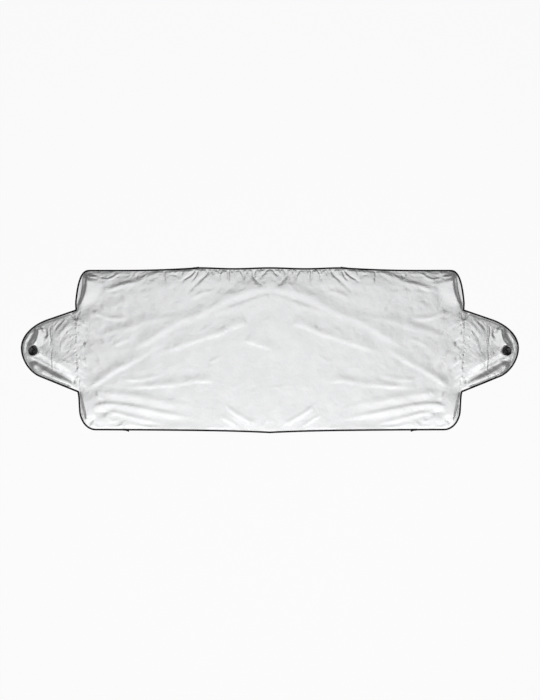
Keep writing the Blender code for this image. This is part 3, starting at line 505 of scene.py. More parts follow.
# The left half's folds, which the right half mirrors unless a fold says otherwise
FOLDS: tuple[Fold, ...] = (
    # Long ridges that rise from the lower corner towards the middle of the top edge
    Fold(((-0.923, -0.455), (-0.81, -0.272), (-0.713, -0.149), (-0.631, -0.034), (-0.564, 0.069)), 2,
        (40, 13), (0.15, 0.35)),
    Fold(((-0.728, -0.046), (-0.641, 0.095), (-0.559, 0.219), (-0.472, 0.336), (-0.369, 0.43),
        (-0.297, 0.514), (-0.184, 0.647), (-0.071, 0.725), (0.0, 0.743)), 2.5, (52, 24), (0.25, 0.06)),
    Fold(((-0.323, 0.406), (-0.271, 0.457), (-0.195, 0.516), (-0.123, 0.571), (-0.051, 0.637),
        (0.0, 0.653)), 1.1, (15, 22), (0.3, 0.05)),
    Fold(((-0.585, -0.058), (-0.441, 0.067), (-0.323, 0.161), (-0.256, 0.207), (-0.179, 0.288),
        (-0.107, 0.333)), 2.6, (50, 15), (0.3, 0.06)),
    Fold(((-0.764, -0.35), (-0.662, -0.354), (-0.554, -0.293)), 1.3, (18, 11), (0.3, 0.3)),
    Fold(((-0.78, -0.457), (-0.641, -0.438), (-0.513, -0.419), (-0.41, -0.378), (-0.343, -0.368),
        (-0.282, -0.395)), 2, (32, 11), (0.35, 0.1)),
    Fold(((-0.918, 0.478), (-0.851, 0.405), (-0.795, 0.378), (-0.723, 0.388)), 1.8, (20, 11), (0.15, 0.2)),
    Fold(((-0.908, 0.261), (-0.862, 0.185), (-0.805, 0.234), (-0.733, 0.27), (-0.641, 0.348),
        (-0.543, 0.384), (-0.441, 0.424)), 1.3, (32, 18), (0.12, 0.4)),
    Fold(((-0.821, 0.031), (-0.764, 0.095), (-0.7, 0.147)), 1.2, (16, 8)),
    Fold(((-0.379, 0.201), (-0.328, 0.261), (-0.277, 0.34)), 0.8, (12, 8)),
    Fold(((-0.333, -0.148), (-0.282, -0.123), (-0.236, -0.052)), 0.9, (12, 8)),
    Fold(((-0.482, -0.25), (-0.431, -0.214), (-0.379, -0.226)), 0.8, (12, 9)),
    Fold(((-0.42, 0.604), (-0.343, 0.689), (-0.282, 0.713)), 1.5, (14, 12)),
    # Long sweeps along the bottom edge, each ridge steep above and long below
    Fold(((-0.882, -0.497), (-0.703, -0.545), (-0.564, -0.606), (-0.446, -0.654), (-0.343, -0.732)), 2.2,
        (24, 34), (0.15, 0.35), soft=0.06),
    Fold(((-0.913, -0.726), (-0.882, -0.657), (-0.8, -0.643), (-0.677, -0.684), (-0.538, -0.749),
        (-0.441, -0.79), (-0.333, -0.858)), 2.7, (10, 30), (0.1, 0.4), soft=0.05),
    Fold(((-0.846, -0.738), (-0.785, -0.746), (-0.697, -0.799), (-0.6, -0.852), (-0.513, -0.895)), 2.0,
        (6, 18), (0.2, 0.35), soft=0.05),
    Fold(((-0.738, -0.876), (-0.641, -0.92), (-0.549, -0.925)), 1.4, (6, 8)),
    Fold(((-0.89, -0.491), (-0.877, -0.551), (-0.862, -0.6)), 2.2, (8, 8), (0.3, 0.3)),
    Fold(((-0.833, -0.804), (-0.805, -0.856), (-0.767, -0.823)), 1.6, (6, 6)),
    Fold(((-0.908, -0.756), (-0.867, -0.738), (-0.821, -0.762)), -2.4, (8, 34), (0.3, 0.4), soft=0.08),
    Fold(((-0.774, -0.925), (-0.738, -0.852)), 2.0, (5, 5), (0.2, 0.3)),
    Fold(((-0.759, -0.943), (-0.723, -0.876)), 1.8, (5, 5), (0.2, 0.3)),
    Fold(((-0.908, -0.907), (-0.877, -0.927), (-0.831, -0.94)), 1.2, (5, 6), (0.2, 0.4)),
    Fold(((-0.926, -0.907), (-0.918, -0.852), (-0.903, -0.81)), -2.0, (7, 7), (0.1, 0.4)),
    # Short ridges that meet at the point of the bottom edge
    Fold(((-0.241, -0.606), (-0.2, -0.714), (-0.128, -0.822), (-0.056, -0.907)), 2.4, (12, 15), (0.25, 0.2),
        soft=0.06),
    Fold(((-0.266, -0.768), (-0.215, -0.84), (-0.159, -0.925)), 2.2, (9, 11), (0.3, 0.15)),
    Fold(((-0.123, -0.925), (-0.092, -0.852), (-0.041, -0.828)), 1.0, (7, 8)),
    Fold(((-0.041, -0.937), (-0.02, -0.864), (0.0, -0.84)), 1.2, (7, 7), (0.2, 0.1)),
    # Slack cloth under the upper corner
    Fold(((-0.882, 0.707), (-0.81, 0.743), (-0.718, 0.803), (-0.631, 0.875), (-0.559, 0.954)), 1.2,
        (17.5, 15.5), (0.3, 0.1)),
    Fold(((-0.836, 0.725), (-0.785, 0.766), (-0.744, 0.802), (-0.672, 0.809)), 1.4, (7.5, 12), (0.3, 0.3),
        soft=0.05),
    Fold(((-0.882, 0.875), (-0.841, 0.852), (-0.805, 0.876), (-0.769, 0.935)), 1.4, (6.5, 9), (0.2, 0.2),
        soft=0.05),
    Fold(((-0.94, 0.905), (-0.913, 0.887), (-0.882, 0.884)), 1.8, (7.5, 10), (0.1, 0.3)),
    Fold(((-0.887, 0.911), (-0.867, 0.935), (-0.841, 0.944)), 1, (5.5, 5.5)),
    Fold(((-0.913, 0.809), (-0.867, 0.803), (-0.81, 0.833)), 0.8, (9, 9)),
    Fold(((-0.851, 0.653), (-0.78, 0.689), (-0.728, 0.701)), 0.7, (10, 10)),
    Fold(((-0.703, 0.948), (-0.699, 0.881)), -1, (5.5, 5.5), (0.1, 0.4)),
    Fold(((-0.678, 0.917), (-0.685, 0.851)), -1, (5.5, 5.5), (0.2, 0.4)),
    Fold(((-0.669, 0.863), (-0.631, 0.893)), 0.8, (5.5, 6.5)),
    Fold(((-0.543, 0.948), (-0.541, 0.857), (-0.533, 0.767)), -1.3, (5.5, 5.5), (0.05, 0.4)),
    Fold(((-0.64, 0.624), (-0.615, 0.556), (-0.587, 0.46)), -1.6, (7.5, 7.5), (0.2, 0.3)),
    Fold(((-0.885, 0.568), (-0.857, 0.484)), -1, (6.5, 6.5)),
    Fold(((-0.923, 0.406), (-0.882, 0.38)), -1.1, (7.5, 7.5)),
    Fold(((-0.892, 0.165), (-0.851, 0.081)), -1.3, (6.5, 6.5), (0.2, 0.2)),
    Fold(((-0.954, 0.099), (-0.904, -0.012), (-0.863, -0.154), (-0.846, -0.274)), 1.7, (24, 11),
        (0.08, 0.45)),
    Fold(((-0.954, -0.094), (-0.918, -0.184), (-0.895, -0.287)), 1.3, (15.5, 9), (0.1, 0.4)),
    # Gathers that hang from the top edge
    Fold(((-0.315, 0.96), (-0.329, 0.905), (-0.372, 0.815), (-0.415, 0.701), (-0.428, 0.616)), -1.8,
        (10, 14), (0.03, 0.45)),
    Fold(((-0.384, 0.96), (-0.41, 0.899), (-0.456, 0.833)), -2, (8, 8), (0.03, 0.4)),
    Fold(((-0.372, 0.956), (-0.384, 0.887), (-0.41, 0.815)), -1.5, (8, 8), (0.03, 0.4)),
    Fold(((-0.518, 0.911), (-0.474, 0.896), (-0.464, 0.827)), -0.9, (7, 7)),
    Fold(((-0.484, 0.797), (-0.501, 0.701)), -0.9, (7, 7)),
    Fold(((-0.472, 0.809), (-0.436, 0.851)), -0.8, (7, 7)),
    Fold(((-0.343, 0.863), (-0.287, 0.791)), -0.5, (7, 7)),
    Fold(((-0.251, 0.954), (-0.261, 0.857), (-0.236, 0.725)), -0.9, (7, 7), (0.03, 0.5)),
    Fold(((-0.211, 0.966), (-0.21, 0.893), (-0.205, 0.797)), -1.5, (5, 14), (0.02, 0.6)),
    Fold(((-0.156, 0.96), (-0.138, 0.899), (-0.133, 0.797)), -1.5, (14, 5), (0.02, 0.6)),
    Fold(((-0.077, 0.972), (-0.083, 0.899), (-0.064, 0.836), (-0.033, 0.763)), -1.8, (10, 14), (0.02, 0.3)),
    Fold(((-0.012, 0.969), (-0.028, 0.923), (-0.047, 0.875)), -1.5, (5, 12), (0.02, 0.5)),
    Fold(((-0.289, 0.954), (-0.295, 0.893)), -0.7, (7, 7), (0.05, 0.5)),
    Fold(((-0.107, 0.96), (-0.105, 0.869), (-0.118, 0.749)), -0.6, (7, 7), (0.05, 0.5)),
    Fold(((-0.179, 0.954), (-0.174, 0.857), (-0.179, 0.725)), -0.5, (7, 7), (0.05, 0.5)),
    # The side's upper stretch: the panel drops steeply to a groove beside a lifted edge
    Fold(((-0.944, 0.941), (-0.939, 0.833), (-0.943, 0.725), (-0.961, 0.604), (-0.985, 0.472)), 8.5,
        (60, 21), (0.25, 0.55), soft=0.06),
    Fold(((-0.957, 0.905), (-0.969, 0.725), (-0.985, 0.556)), -4.0, (9, 9), (0.2, 0.25)),
    Fold(((-0.984, 0.941), (-0.995, 0.749), (-0.998, 0.532)), 4.5, (14, 14), (0.4, 0.4), held=Held.EDGE),
    Fold(((-0.969, 0.472), (-0.992, 0.426)), -1.6, (5, 5), (0.3, 0.2)),
    # The side's lower stretch: a narrow step down to a flat strip
    Fold(((-0.98, -0.455), (-0.962, -0.588), (-0.946, -0.732), (-0.936, -0.864)), 6.0, (60, 8), (0.48, 0.2),
        soft=0.05),
    # The lifted bottom edge
    Fold(((-0.79, -1.02), (-0.489, -1.02), (-0.209, -1.02)), 5.0, (60, 40), (0.4, 0.4), held=Held.EDGE),
    # The flap: a crest from the cup to the lower notch, and a second one along the lower edge
    Fold(((-1.203, 0.002), (-1.149, -0.07), (-1.108, -0.12), (-1.046, -0.201), (-0.99, -0.305)), 6.4,
        (50, 34), (0.0, 0.52), soft=0.08),
    Fold(((-1.239, -0.13), (-1.2, -0.196), (-1.159, -0.253), (-1.093, -0.333), (-1.041, -0.386),
        (-1.005, -0.431)), 5.6, (26, 25), (0.18, 0.14), soft=0.15),
    Fold(((-1.226, -0.214), (-1.159, -0.329), (-1.093, -0.407), (-1.031, -0.461)), 3.2, (34, 34),
        (0.3, 0.3), held=Held.EDGE),
    Fold(((-1.236, -0.088), (-1.185, -0.146), (-1.139, -0.202), (-1.093, -0.262), (-1.041, -0.332),
        (-0.995, -0.407)), -2.4, (18, 22), (0.18, 0.08), soft=0.1),
    Fold(((-1.067, -0.124), (-1.026, -0.157), (-0.99, -0.184)), 0.5, (9, 10), (0.3, 0.1)),
    # The flap's tip: cloth falls from the cup to a groove inside a lifted edge
    Fold(((-1.184, 0.285), (-1.186, 0.219), (-1.192, 0.147), (-1.211, 0.069), (-1.231, 0.002)), 7.6,
        (30, 20), (0.12, 0.1), soft=0.08),
    Fold(((-1.213, 0.219), (-1.239, 0.093), (-1.252, 0.014), (-1.249, -0.07)), -0.8, (8, 10), (0.2, 0.2)),
    Fold(((-1.218, 0.255), (-1.252, 0.135), (-1.274, 0.039)), 1, (12, 12), (0.4, 0.4), held=Held.EDGE),
    Fold(((-1.17, 0.261), (-1.146, 0.203), (-1.162, 0.141)), -1.5, (11, 12), (0.25, 0.3), soft=0.1),
    # The flap's upper half: curved creases between the hem and the seam
    Fold(((-1.062, 0.352), (-1.087, 0.303), (-1.109, 0.243)), -0.7, (9, 9), (0.25, 0.25)),
    Fold(((-1.036, 0.388), (-1.072, 0.303), (-1.103, 0.207)), 0.5, (10, 8), (0.2, 0.3)),
    Fold(((-1.016, 0.352), (-1.057, 0.255), (-1.09, 0.147)), 0.5, (11, 9), (0.2, 0.3)),
    Fold(((-1.003, 0.291), (-1.046, 0.219), (-1.082, 0.087)), -0.5, (9, 9), (0.15, 0.3)),
    Fold(((-0.998, 0.183), (-1.036, 0.147), (-1.064, 0.075), (-1.075, -0.046)), 0.5, (11, 9), (0.1, 0.3)),
    Fold(((-1.023, 0.448), (-0.996, 0.37)), -2, (9, 9), (0.2, 0.1)),
    Fold(((-1.082, -0.01), (-1.041, -0.028), (-0.995, -0.016)), -0.3, (12.5, 12.5)),
    Fold(((-1.185, 0.051), (-1.154, 0.111), (-1.129, 0.195)), 0.8, (12.5, 10), (0.1, 0.3)),
    # Cloth drawn in at the seam
    Fold(((-0.987, 0.382), (-0.939, 0.297), (-0.913, 0.249)), 1.4, (7.5, 7.5), (0.04, 0.5)),
    Fold(((-0.985, 0.333), (-0.954, 0.273), (-0.923, 0.207)), -1.1, (6.5, 6.5), (0.04, 0.5)),
    Fold(((-0.985, 0.207), (-0.951, 0.135), (-0.934, 0.099)), 1.4, (7.5, 7.5), (0.04, 0.5)),
    Fold(((-0.986, 0.129), (-0.957, 0.079), (-0.98, 0.02)), -0.9, (12, 12), (0.05, 0.1)),
    Fold(((-0.975, 0.008), (-0.954, 0.051)), 0.9, (5.5, 5.5)),
    Fold(((-0.982, -0.058), (-0.94, -0.142)), -1.1, (5.5, 5.5), (0.04, 0.5)),
    Fold(((-0.98, -0.088), (-0.944, -0.166), (-0.913, -0.238)), 1.4, (6.5, 6.5), (0.04, 0.5)),
    Fold(((-0.98, -0.136), (-0.936, -0.232)), -1.1, (5.5, 5.5), (0.04, 0.5)),
    Fold(((-0.98, -0.196), (-0.954, -0.256)), 1.1, (5.5, 5.5), (0.04, 0.5)),
    Fold(((-0.981, -0.244), (-0.954, -0.305)), -1.2, (5.5, 5.5), (0.04, 0.5)),
    Fold(((-0.98, -0.293), (-0.935, -0.401)), -1.2, (5.5, 6.5), (0.04, 0.5)),
    Fold(((-0.977, -0.347), (-0.934, -0.455)), 0.9, (5.5, 6.5), (0.04, 0.5)),
    Fold(((-0.975, -0.407), (-0.949, -0.491)), -0.9, (5.5, 5.5), (0.04, 0.5)),
    Fold(((-0.975, -0.491), (-0.954, -0.557)), -1, (5.5, 5.5), (0.04, 0.5)),
    # The seam's doubled cloth
    Fold(((-0.99, 0.364), (-0.99, 0.219), (-0.989, 0.051)), 0.5, (6, 6), (0.1, 0.1)),
    # The flap's hem
    Fold(((-1.116, 0.014), (-1.115, -0.118), (-1.111, -0.262)), 0.6, (5, 5), (0.2, 0.2)),
    Fold(((-1.127, 0.303), (-1.13, 0.207), (-1.125, 0.123), (-1.129, 0.039)), -1.0, (5, 5), (0.2, 0.2)),
    # Folds of one half alone
    Fold(((-0.138, 0.131), (-0.051, 0.065), (0.036, -0.005)), 2.6, (46, 13), (0.2, 0.35), mirrored=False),
    Fold(((-0.02, -0.455), (0.062, -0.437), (0.113, -0.419)), 1.2, (9, 10), mirrored=False),
)


@dataclass(frozen=True)
class FoldRow:
    """A row of short, irregular folds that start at a line.

    Attributes:
        line: points in shares of the panel's half width and half height.
        count: how many folds.
        ways: lowest and highest direction, in degrees from +X.
        lengths: shortest and longest, in millimetres.
        rises: lowest and highest, in millimetres; grooves where negative.
        width: width of each slope, in millimetres.
        seed: number that fixes the irregularities.
        lean: share of each fold that lies behind the line.
        bend: how far a fold's second half may turn, in radians.
        widths: narrowest and widest, as shares of the width.
        soft: how round the crests are.
    """

    line: tuple[tuple[float, float], ...]
    count: int
    ways: tuple[float, float]
    lengths: tuple[float, float]
    rises: tuple[float, float]
    width: float
    seed: int
    lean: float = 0.0
    bend: ClassVar[float] = 0.4
    widths: ClassVar[tuple[float, float]] = (0.8, 1.25)
    soft: ClassVar[float] = 0.15

    def folds(self, sizes: ShadeSizes) -> list[Fold]:
        """The row's folds.

        Args:
            sizes: the shade's sizes.

        Returns:
            One fold for each place in the row.
        """
        chance = np.random.default_rng(self.seed)
        scale = np.array([sizes.half_width, sizes.half_height])
        spine = Fold(self.line, 0, (1, 1)).path(sizes)
        gone = np.concatenate([[0.0], np.cumsum(np.linalg.norm(np.diff(spine, axis=0), axis=1))])
        found = []
        for k in range(self.count):
            along = (k + chance.uniform(0.1, 0.9)) / self.count * gone[-1]
            start = np.array([np.interp(along, gone, spine[:, 0]), np.interp(along, gone, spine[:, 1])])
            turn = math.radians(chance.uniform(*self.ways))
            bent = turn + chance.uniform(-self.bend, self.bend)
            reach = chance.uniform(*self.lengths) * MM / 2
            first = start - 2 * self.lean * reach * np.array([math.cos(turn), math.sin(turn)])
            middle = first + reach * np.array([math.cos(turn), math.sin(turn)])
            last = middle + reach * np.array([math.cos(bent), math.sin(bent)])
            line = tuple((float(p[0] / scale[0]), float(p[1] / scale[1])) for p in (first, middle, last))
            width = self.width * chance.uniform(*self.widths)
            ends = (0.1 if self.lean == 0 else 0.4, 0.5)
            found.append(Fold(line, chance.uniform(*self.rises), (width, width), ends, self.soft))
        return found


FOLD_ROWS: tuple[FoldRow, ...] = (
    # Tucks under the top tape
    FoldRow(((-0.34, 0.975), (0.0, 0.98)), 20, (-115, -65), (8, 24), (-2.0, -0.4), 4.5, 11),
    FoldRow(((-0.54, 0.965), (-0.33, 0.975)), 9, (-150, -110), (10, 34), (-1.4, 0.9), 5.5, 12),
    FoldRow(((-0.94, 0.955), (-0.56, 0.965)), 20, (195, 215), (12, 36), (-1.2, 1.2), 5.0, 13),
    FoldRow(((-0.90, 0.88), (-0.60, 0.90)), 12, (8, 34), (14, 34), (-0.8, 0.9), 5.0, 14, 0.5),
    # Puckers that the seam's stitches draw
    FoldRow(((-0.994, 0.42), (-0.992, 0.05), (-0.982, -0.55)), 30, (-58, -28), (9, 30), (-1.9, 1.7), 4.4,
        15),
    FoldRow(((-0.996, 0.36), (-0.994, 0.05), (-0.984, -0.44)), 24, (190, 235), (6, 15), (-0.9, 0.7), 3.6,
        16),
    # Puckers along the hem at the flap's second layer
    FoldRow(((-1.120, 0.31), (-1.120, -0.33)), 34, (165, 200), (8, 13), (-0.8, -0.2), 3.0, 17, 0.5),
    # Tucks beside the bottom tape
    FoldRow(((-0.92, -0.955), (-0.72, -0.965)), 10, (35, 65), (8, 22), (-1.0, 0.9), 4.5, 18),
    FoldRow(((-0.70, -0.965), (-0.30, -0.975)), 8, (15, 60), (6, 14), (-0.5, 0.3), 4.5, 19),
    FoldRow(((-0.29, -0.975), (0.0, -0.985)), 14, (25, 150), (8, 24), (-1.1, 0.9), 5.0, 20),
    # Faint creases of the folded and smoothed cloth
    FoldRow(((-0.88, 0.74), (-0.05, 0.74)), 14, (15, 55), (22, 60), (-0.7, 0.7), 9.0, 21, 0.5),
    FoldRow(((-0.88, 0.52), (-0.05, 0.52)), 14, (10, 50), (22, 70), (-0.6, 0.6), 9.5, 22, 0.5),
    FoldRow(((-0.90, 0.28), (-0.05, 0.30)), 14, (10, 45), (22, 70), (-0.6, 0.6), 10.0, 23, 0.5),
    FoldRow(((-0.92, 0.05), (-0.05, 0.05)), 14, (5, 45), (22, 70), (-0.6, 0.6), 10.0, 24, 0.5),
    FoldRow(((-0.88, -0.20), (-0.05, -0.20)), 14, (0, 45), (22, 70), (-0.6, 0.6), 10.0, 25, 0.5),
    FoldRow(((-0.80, -0.42), (-0.05, -0.45)), 13, (-5, 40), (22, 60), (-0.6, 0.6), 9.5, 26, 0.5),
    FoldRow(((-0.45, -0.66), (-0.02, -0.68)), 8, (-40, 50), (18, 45), (-0.6, 0.6), 8.0, 27, 0.5),
    FoldRow(((-0.22, 0.86), (-0.23, 0.20)), 9, (-100, -80), (30, 80), (-0.5, 0.4), 7.0, 28, 0.5),
    # Creases of the flap
    FoldRow(((-1.10, 0.33), (-1.02, 0.18), (-1.03, 0.0)), 12, (215, 250), (14, 40), (-0.7, 0.8), 4.5, 29,
        0.3),
    FoldRow(((-1.23, 0.24), (-1.262, 0.05), (-1.255, -0.10)), 9, (20, 60), (8, 20), (-0.6, 0.6), 3.6, 30),
    FoldRow(((-1.16, -0.02), (-1.04, -0.12)), 8, (-60, -20), (12, 30), (-0.5, 0.5), 6.0, 31, 0.5),
)


@dataclass
class ClothLie:
    """How the cloth lies: the height of the flap cloth's level at any place.

    Attributes:
        sizes: the shade's sizes.
        outline: the finished outline.
        seat: height of that level at each cup's eyelet.
        crumple: height of the small irregular waves all over the cloth.
        wave_lean: how far the waves turn from the shade's length.
        streaks: share of sharp streaks in them.
        blotches: share of round dents in them.
        notch_ramp: from how far inside the panel's end the cloth rises to the tape's level, and how
            long the rise is.
        facing_ramp: the same for the rise to the second layer behind the tip.
    """

    sizes: ShadeSizes
    outline: Outline
    seat: float
    crumple: float = 1.25 * MM
    wave_lean: float = math.radians(28)
    streaks: float = 0.22
    blotches: float = 0.6
    notch_ramp: tuple[float, float] = (50 * MM, 35 * MM)
    facing_ramp: tuple[float, float] = (85 * MM, 40 * MM)
    folds: list[Fold] = field(init=False)

    def __post_init__(self) -> None:
        """Adds the rows' folds and each mirrored fold's twin."""
        folds = [*FOLDS, *(fold for row in FOLD_ROWS for fold in row.folds(self.sizes))]
        self.folds = [*folds, *(fold.twin() for fold in folds if fold.mirrored)]

    def rest_level(self, x: np.ndarray) -> np.ndarray:
        """The level where the lowest layer just touches the floor.

        Args:
            x: distances from the middle of the shade.

        Returns:
            The level at each distance.
        """
        s = self.sizes
        under_tape = s.clearance + s.tape
        panel = under_tape - s.level(Layer.PANEL)
        before, run = self.notch_ramp
        over_notch = smooth((x - (s.half_width - before)) / run) * (under_tape - panel)
        before, run = self.facing_ramp
        over_facing = smooth((x - (s.facing_x - before)) / run) * -s.level(Layer.FACING)
        return panel + over_notch + over_facing

    def join_lift(self, points: np.ndarray) -> np.ndarray:
        """What the thicker tape at each join lifts the cloth's edge by.

        Args:
            points: places in the plane, one row each.

        Returns:
            A height in metres for each point.
        """
        lift = np.zeros(len(points))
        for (mark, _), i in self.outline.marks.items():
            if mark in ("top tape end", "bottom tape end"):
                away = np.linalg.norm(points - self.outline.points[i], axis=1)
                lift = np.maximum(lift, smooth(2 - away / (3 * self.sizes.join_lap)))
        return lift * self.sizes.sleeve_growth

    def waves(self, points: np.ndarray) -> np.ndarray:
        """Small irregular waves, as crushed and smoothed cloth keeps.

        Args:
            points: places in the plane, one row each.

        Returns:
            A height for each point, about one unit high.
        """
        found = np.empty(len(points))
        for i, (x, y) in enumerate(points):
            out = -abs(x)
            along = out * math.cos(self.wave_lean) + y * math.sin(self.wave_lean)
            across = y * math.cos(self.wave_lean) - out * math.sin(self.wave_lean)
            broad = noise.noise(Vector((along * 6, across * 15, 0.3)))
            streaks = 1 - 2 * abs(noise.noise(Vector((along * 11 + broad, across * 32 - broad, 4.1))))
            blotches = noise.noise(Vector((x * 26, y * 26, 7.7)))
            found[i] = broad + self.streaks * streaks + self.blotches * blotches
        return found

    def heights(self, points: np.ndarray) -> np.ndarray:
        """Height of the flap cloth's level at each place.

        Args:
            points: places in the plane, one row each.

        Returns:
            A height in metres for each point; the panel lies one layer above it.
        """
        s = self.sizes
        depth = self.outline.depth_of(points)
        loose = smooth((depth - s.tape_width) / s.calm_run)
        lie = s.puff * smooth(depth / s.puff_run) + self.crumple * loose * self.waves(points)
        lie = lie + s.edge_puff * smooth((depth - s.tape_width) / s.edge_puff_run)
        for fold in self.folds:
            share = 1.0 if fold.held is Held.EDGE else loose
            lie = lie + fold.heights(points, s) * share
        x = np.abs(points[:, 0])
        level = self.rest_level(x) + self.join_lift(points) + np.maximum(lie, 0.0)
        plate = self.seat - (x - s.cup_x) * math.tan(s.cup_lean)
        away = np.hypot(x - s.cup_x, points[:, 1] - s.cup_y)
        tent = 1 - smooth((away - s.cup_plate_radius) / s.cup_tent_run)
        return level * (1 - tent) + plate * tent


def add_node(
    tree: bpy.types.NodeTree, kind: str, values: dict[str | int, object] | None = None, **settings: object
) -> bpy.types.Node:
    """Adds a node to a tree.

    Args:
        tree: the tree.
        kind: the node's type.
        values: values of its inputs, by name or number.
        settings: the node's own settings.

    Returns:
        The node.
    """
    node = tree.nodes.new(kind)
    for setting, value in settings.items():
        setattr(node, setting, value)
    for socket, value in (values or {}).items():
        node.inputs[socket].default_value = value
    return node


def wire(
    tree: bpy.types.NodeTree, *links: tuple[bpy.types.Node, str | int, bpy.types.Node, str | int]
) -> None:
    """Links nodes.

    Args:
        tree: the tree.
        links: each link, as a node and its output, then a node and its input.
    """
    for source, output, target, entry in links:
        tree.links.new(source.outputs[output], target.inputs[entry])


def open_group(
    name: str, kind: str, first: str, numbers: dict[str, float], output: str, result: str
) -> tuple[bpy.types.NodeTree, bpy.types.Node, bpy.types.Node]:
    """Makes a node group with its inputs and its one output.

    Args:
        name: the group's name.
        kind: the tree's type.
        first: name and type of the first input.
        numbers: number inputs with their defaults.
        output: the output's name.
        result: the output's type.

    Returns:
        The group, its input node and its output node.
    """
    tree = bpy.data.node_groups.new(name, kind)
    tree.interface.new_socket(first, in_out="INPUT", socket_type=f"NodeSocket{first}")
    for title, value in numbers.items():
        tree.interface.new_socket(title, in_out="INPUT", socket_type="NodeSocketFloat").default_value = value
    tree.interface.new_socket(output, in_out="OUTPUT", socket_type=f"NodeSocket{result}")
    return tree, tree.nodes.new("NodeGroupInput"), tree.nodes.new("NodeGroupOutput")


def new_material(name: str) -> tuple[bpy.types.Material, bpy.types.NodeTree, bpy.types.Node]:
    """Makes a material.

    Args:
        name: its name.

    Returns:
        The material, its node tree and its Principled shader.
    """
    material = bpy.data.materials.new(name)
    material.use_nodes = True
    return material, material.node_tree, material.node_tree.nodes["Principled BSDF"]


def vary_surface(
    tree: bpy.types.NodeTree,
    shader: bpy.types.Node,
    grain: bpy.types.Node,
    colours: tuple[Sequence[float], Sequence[float]],
    roughness: tuple[float, float],
) -> None:
    """Lets a noise vary a surface's colour and roughness.

    Args:
        tree: the material's tree.
        shader: its Principled shader.
        grain: the noise node.
        colours: the colours where the noise is low and where it is high.
        roughness: lowest and highest roughness.
    """
    low, high = colours
    colour = add_node(tree, "ShaderNodeMix", {6: (*low, 1), 7: (*high, 1)}, data_type="RGBA")
    rough = add_node(tree, "ShaderNodeMapRange", {"To Min": roughness[0], "To Max": roughness[1]})
    wire(
        tree,
        (grain, "Fac", colour, 0), (grain, "Fac", rough, "Value"),
        (colour, 2, shader, "Base Color"), (rough, "Result", shader, "Roughness"),
    )


@dataclass(frozen=True)
class ShaderKit:
    """Node groups that more than one finish uses."""

    crinkle: bpy.types.NodeTree
    weave: bpy.types.NodeTree

    @classmethod
    def build(cls) -> "ShaderKit":
        """Makes the groups once."""
        return cls(cls._crinkle(), cls._weave())

    @staticmethod
    def _crinkle() -> bpy.types.NodeTree:
        """Small creases of coated cloth.

        Returns:
            A group that puts out a height from about 0 to 1.
        """
        numbers = {"Scale": 60.0, "Crease Share": 0.5}
        tree, start, end = open_group("crinkle", "ShaderNodeTree", "Vector", numbers, "Height", "Float")
        soft = add_node(tree, "ShaderNodeTexNoise", {"Detail": 4, "Distortion": 0.6})
        creases = add_node(tree, "ShaderNodeTexVoronoi", feature="DISTANCE_TO_EDGE")
        shift = add_node(tree, "ShaderNodeMix", {"Factor": 0.06}, data_type="VECTOR")
        mix = add_node(tree, "ShaderNodeMix")
        wire(
            tree,
            (start, "Vector", soft, "Vector"), (start, "Scale", soft, "Scale"),
            (start, "Vector", shift, 4), (soft, "Color", shift, 5),
            (shift, 1, creases, "Vector"), (start, "Scale", creases, "Scale"),
            (start, "Crease Share", mix, 0), (soft, "Fac", mix, 2), (creases, "Distance", mix, 3),
            (mix, 0, end, "Height"),
        )
        return tree

    @staticmethod
    def _weave() -> bpy.types.NodeTree:
        """Plain weave: two crossed sets of threads.

        Returns:
            A group that puts out a height from 0 to 1.
        """
        numbers = {"Threads": 2500.0}
        tree, start, end = open_group("weave", "ShaderNodeTree", "Vector", numbers, "Height", "Float")
        join = add_node(tree, "ShaderNodeMath", operation="MULTIPLY")
        for entry, direction in enumerate(("X", "Y")):
            wave = add_node(tree, "ShaderNodeTexWave", {"Distortion": 0.4}, bands_direction=direction)
            wire(
                tree,
                (start, "Vector", wave, "Vector"), (start, "Threads", wave, "Scale"),
                (wave, "Fac", join, entry),
            )
        wire(tree, (join, 0, end, "Height"))
        return tree


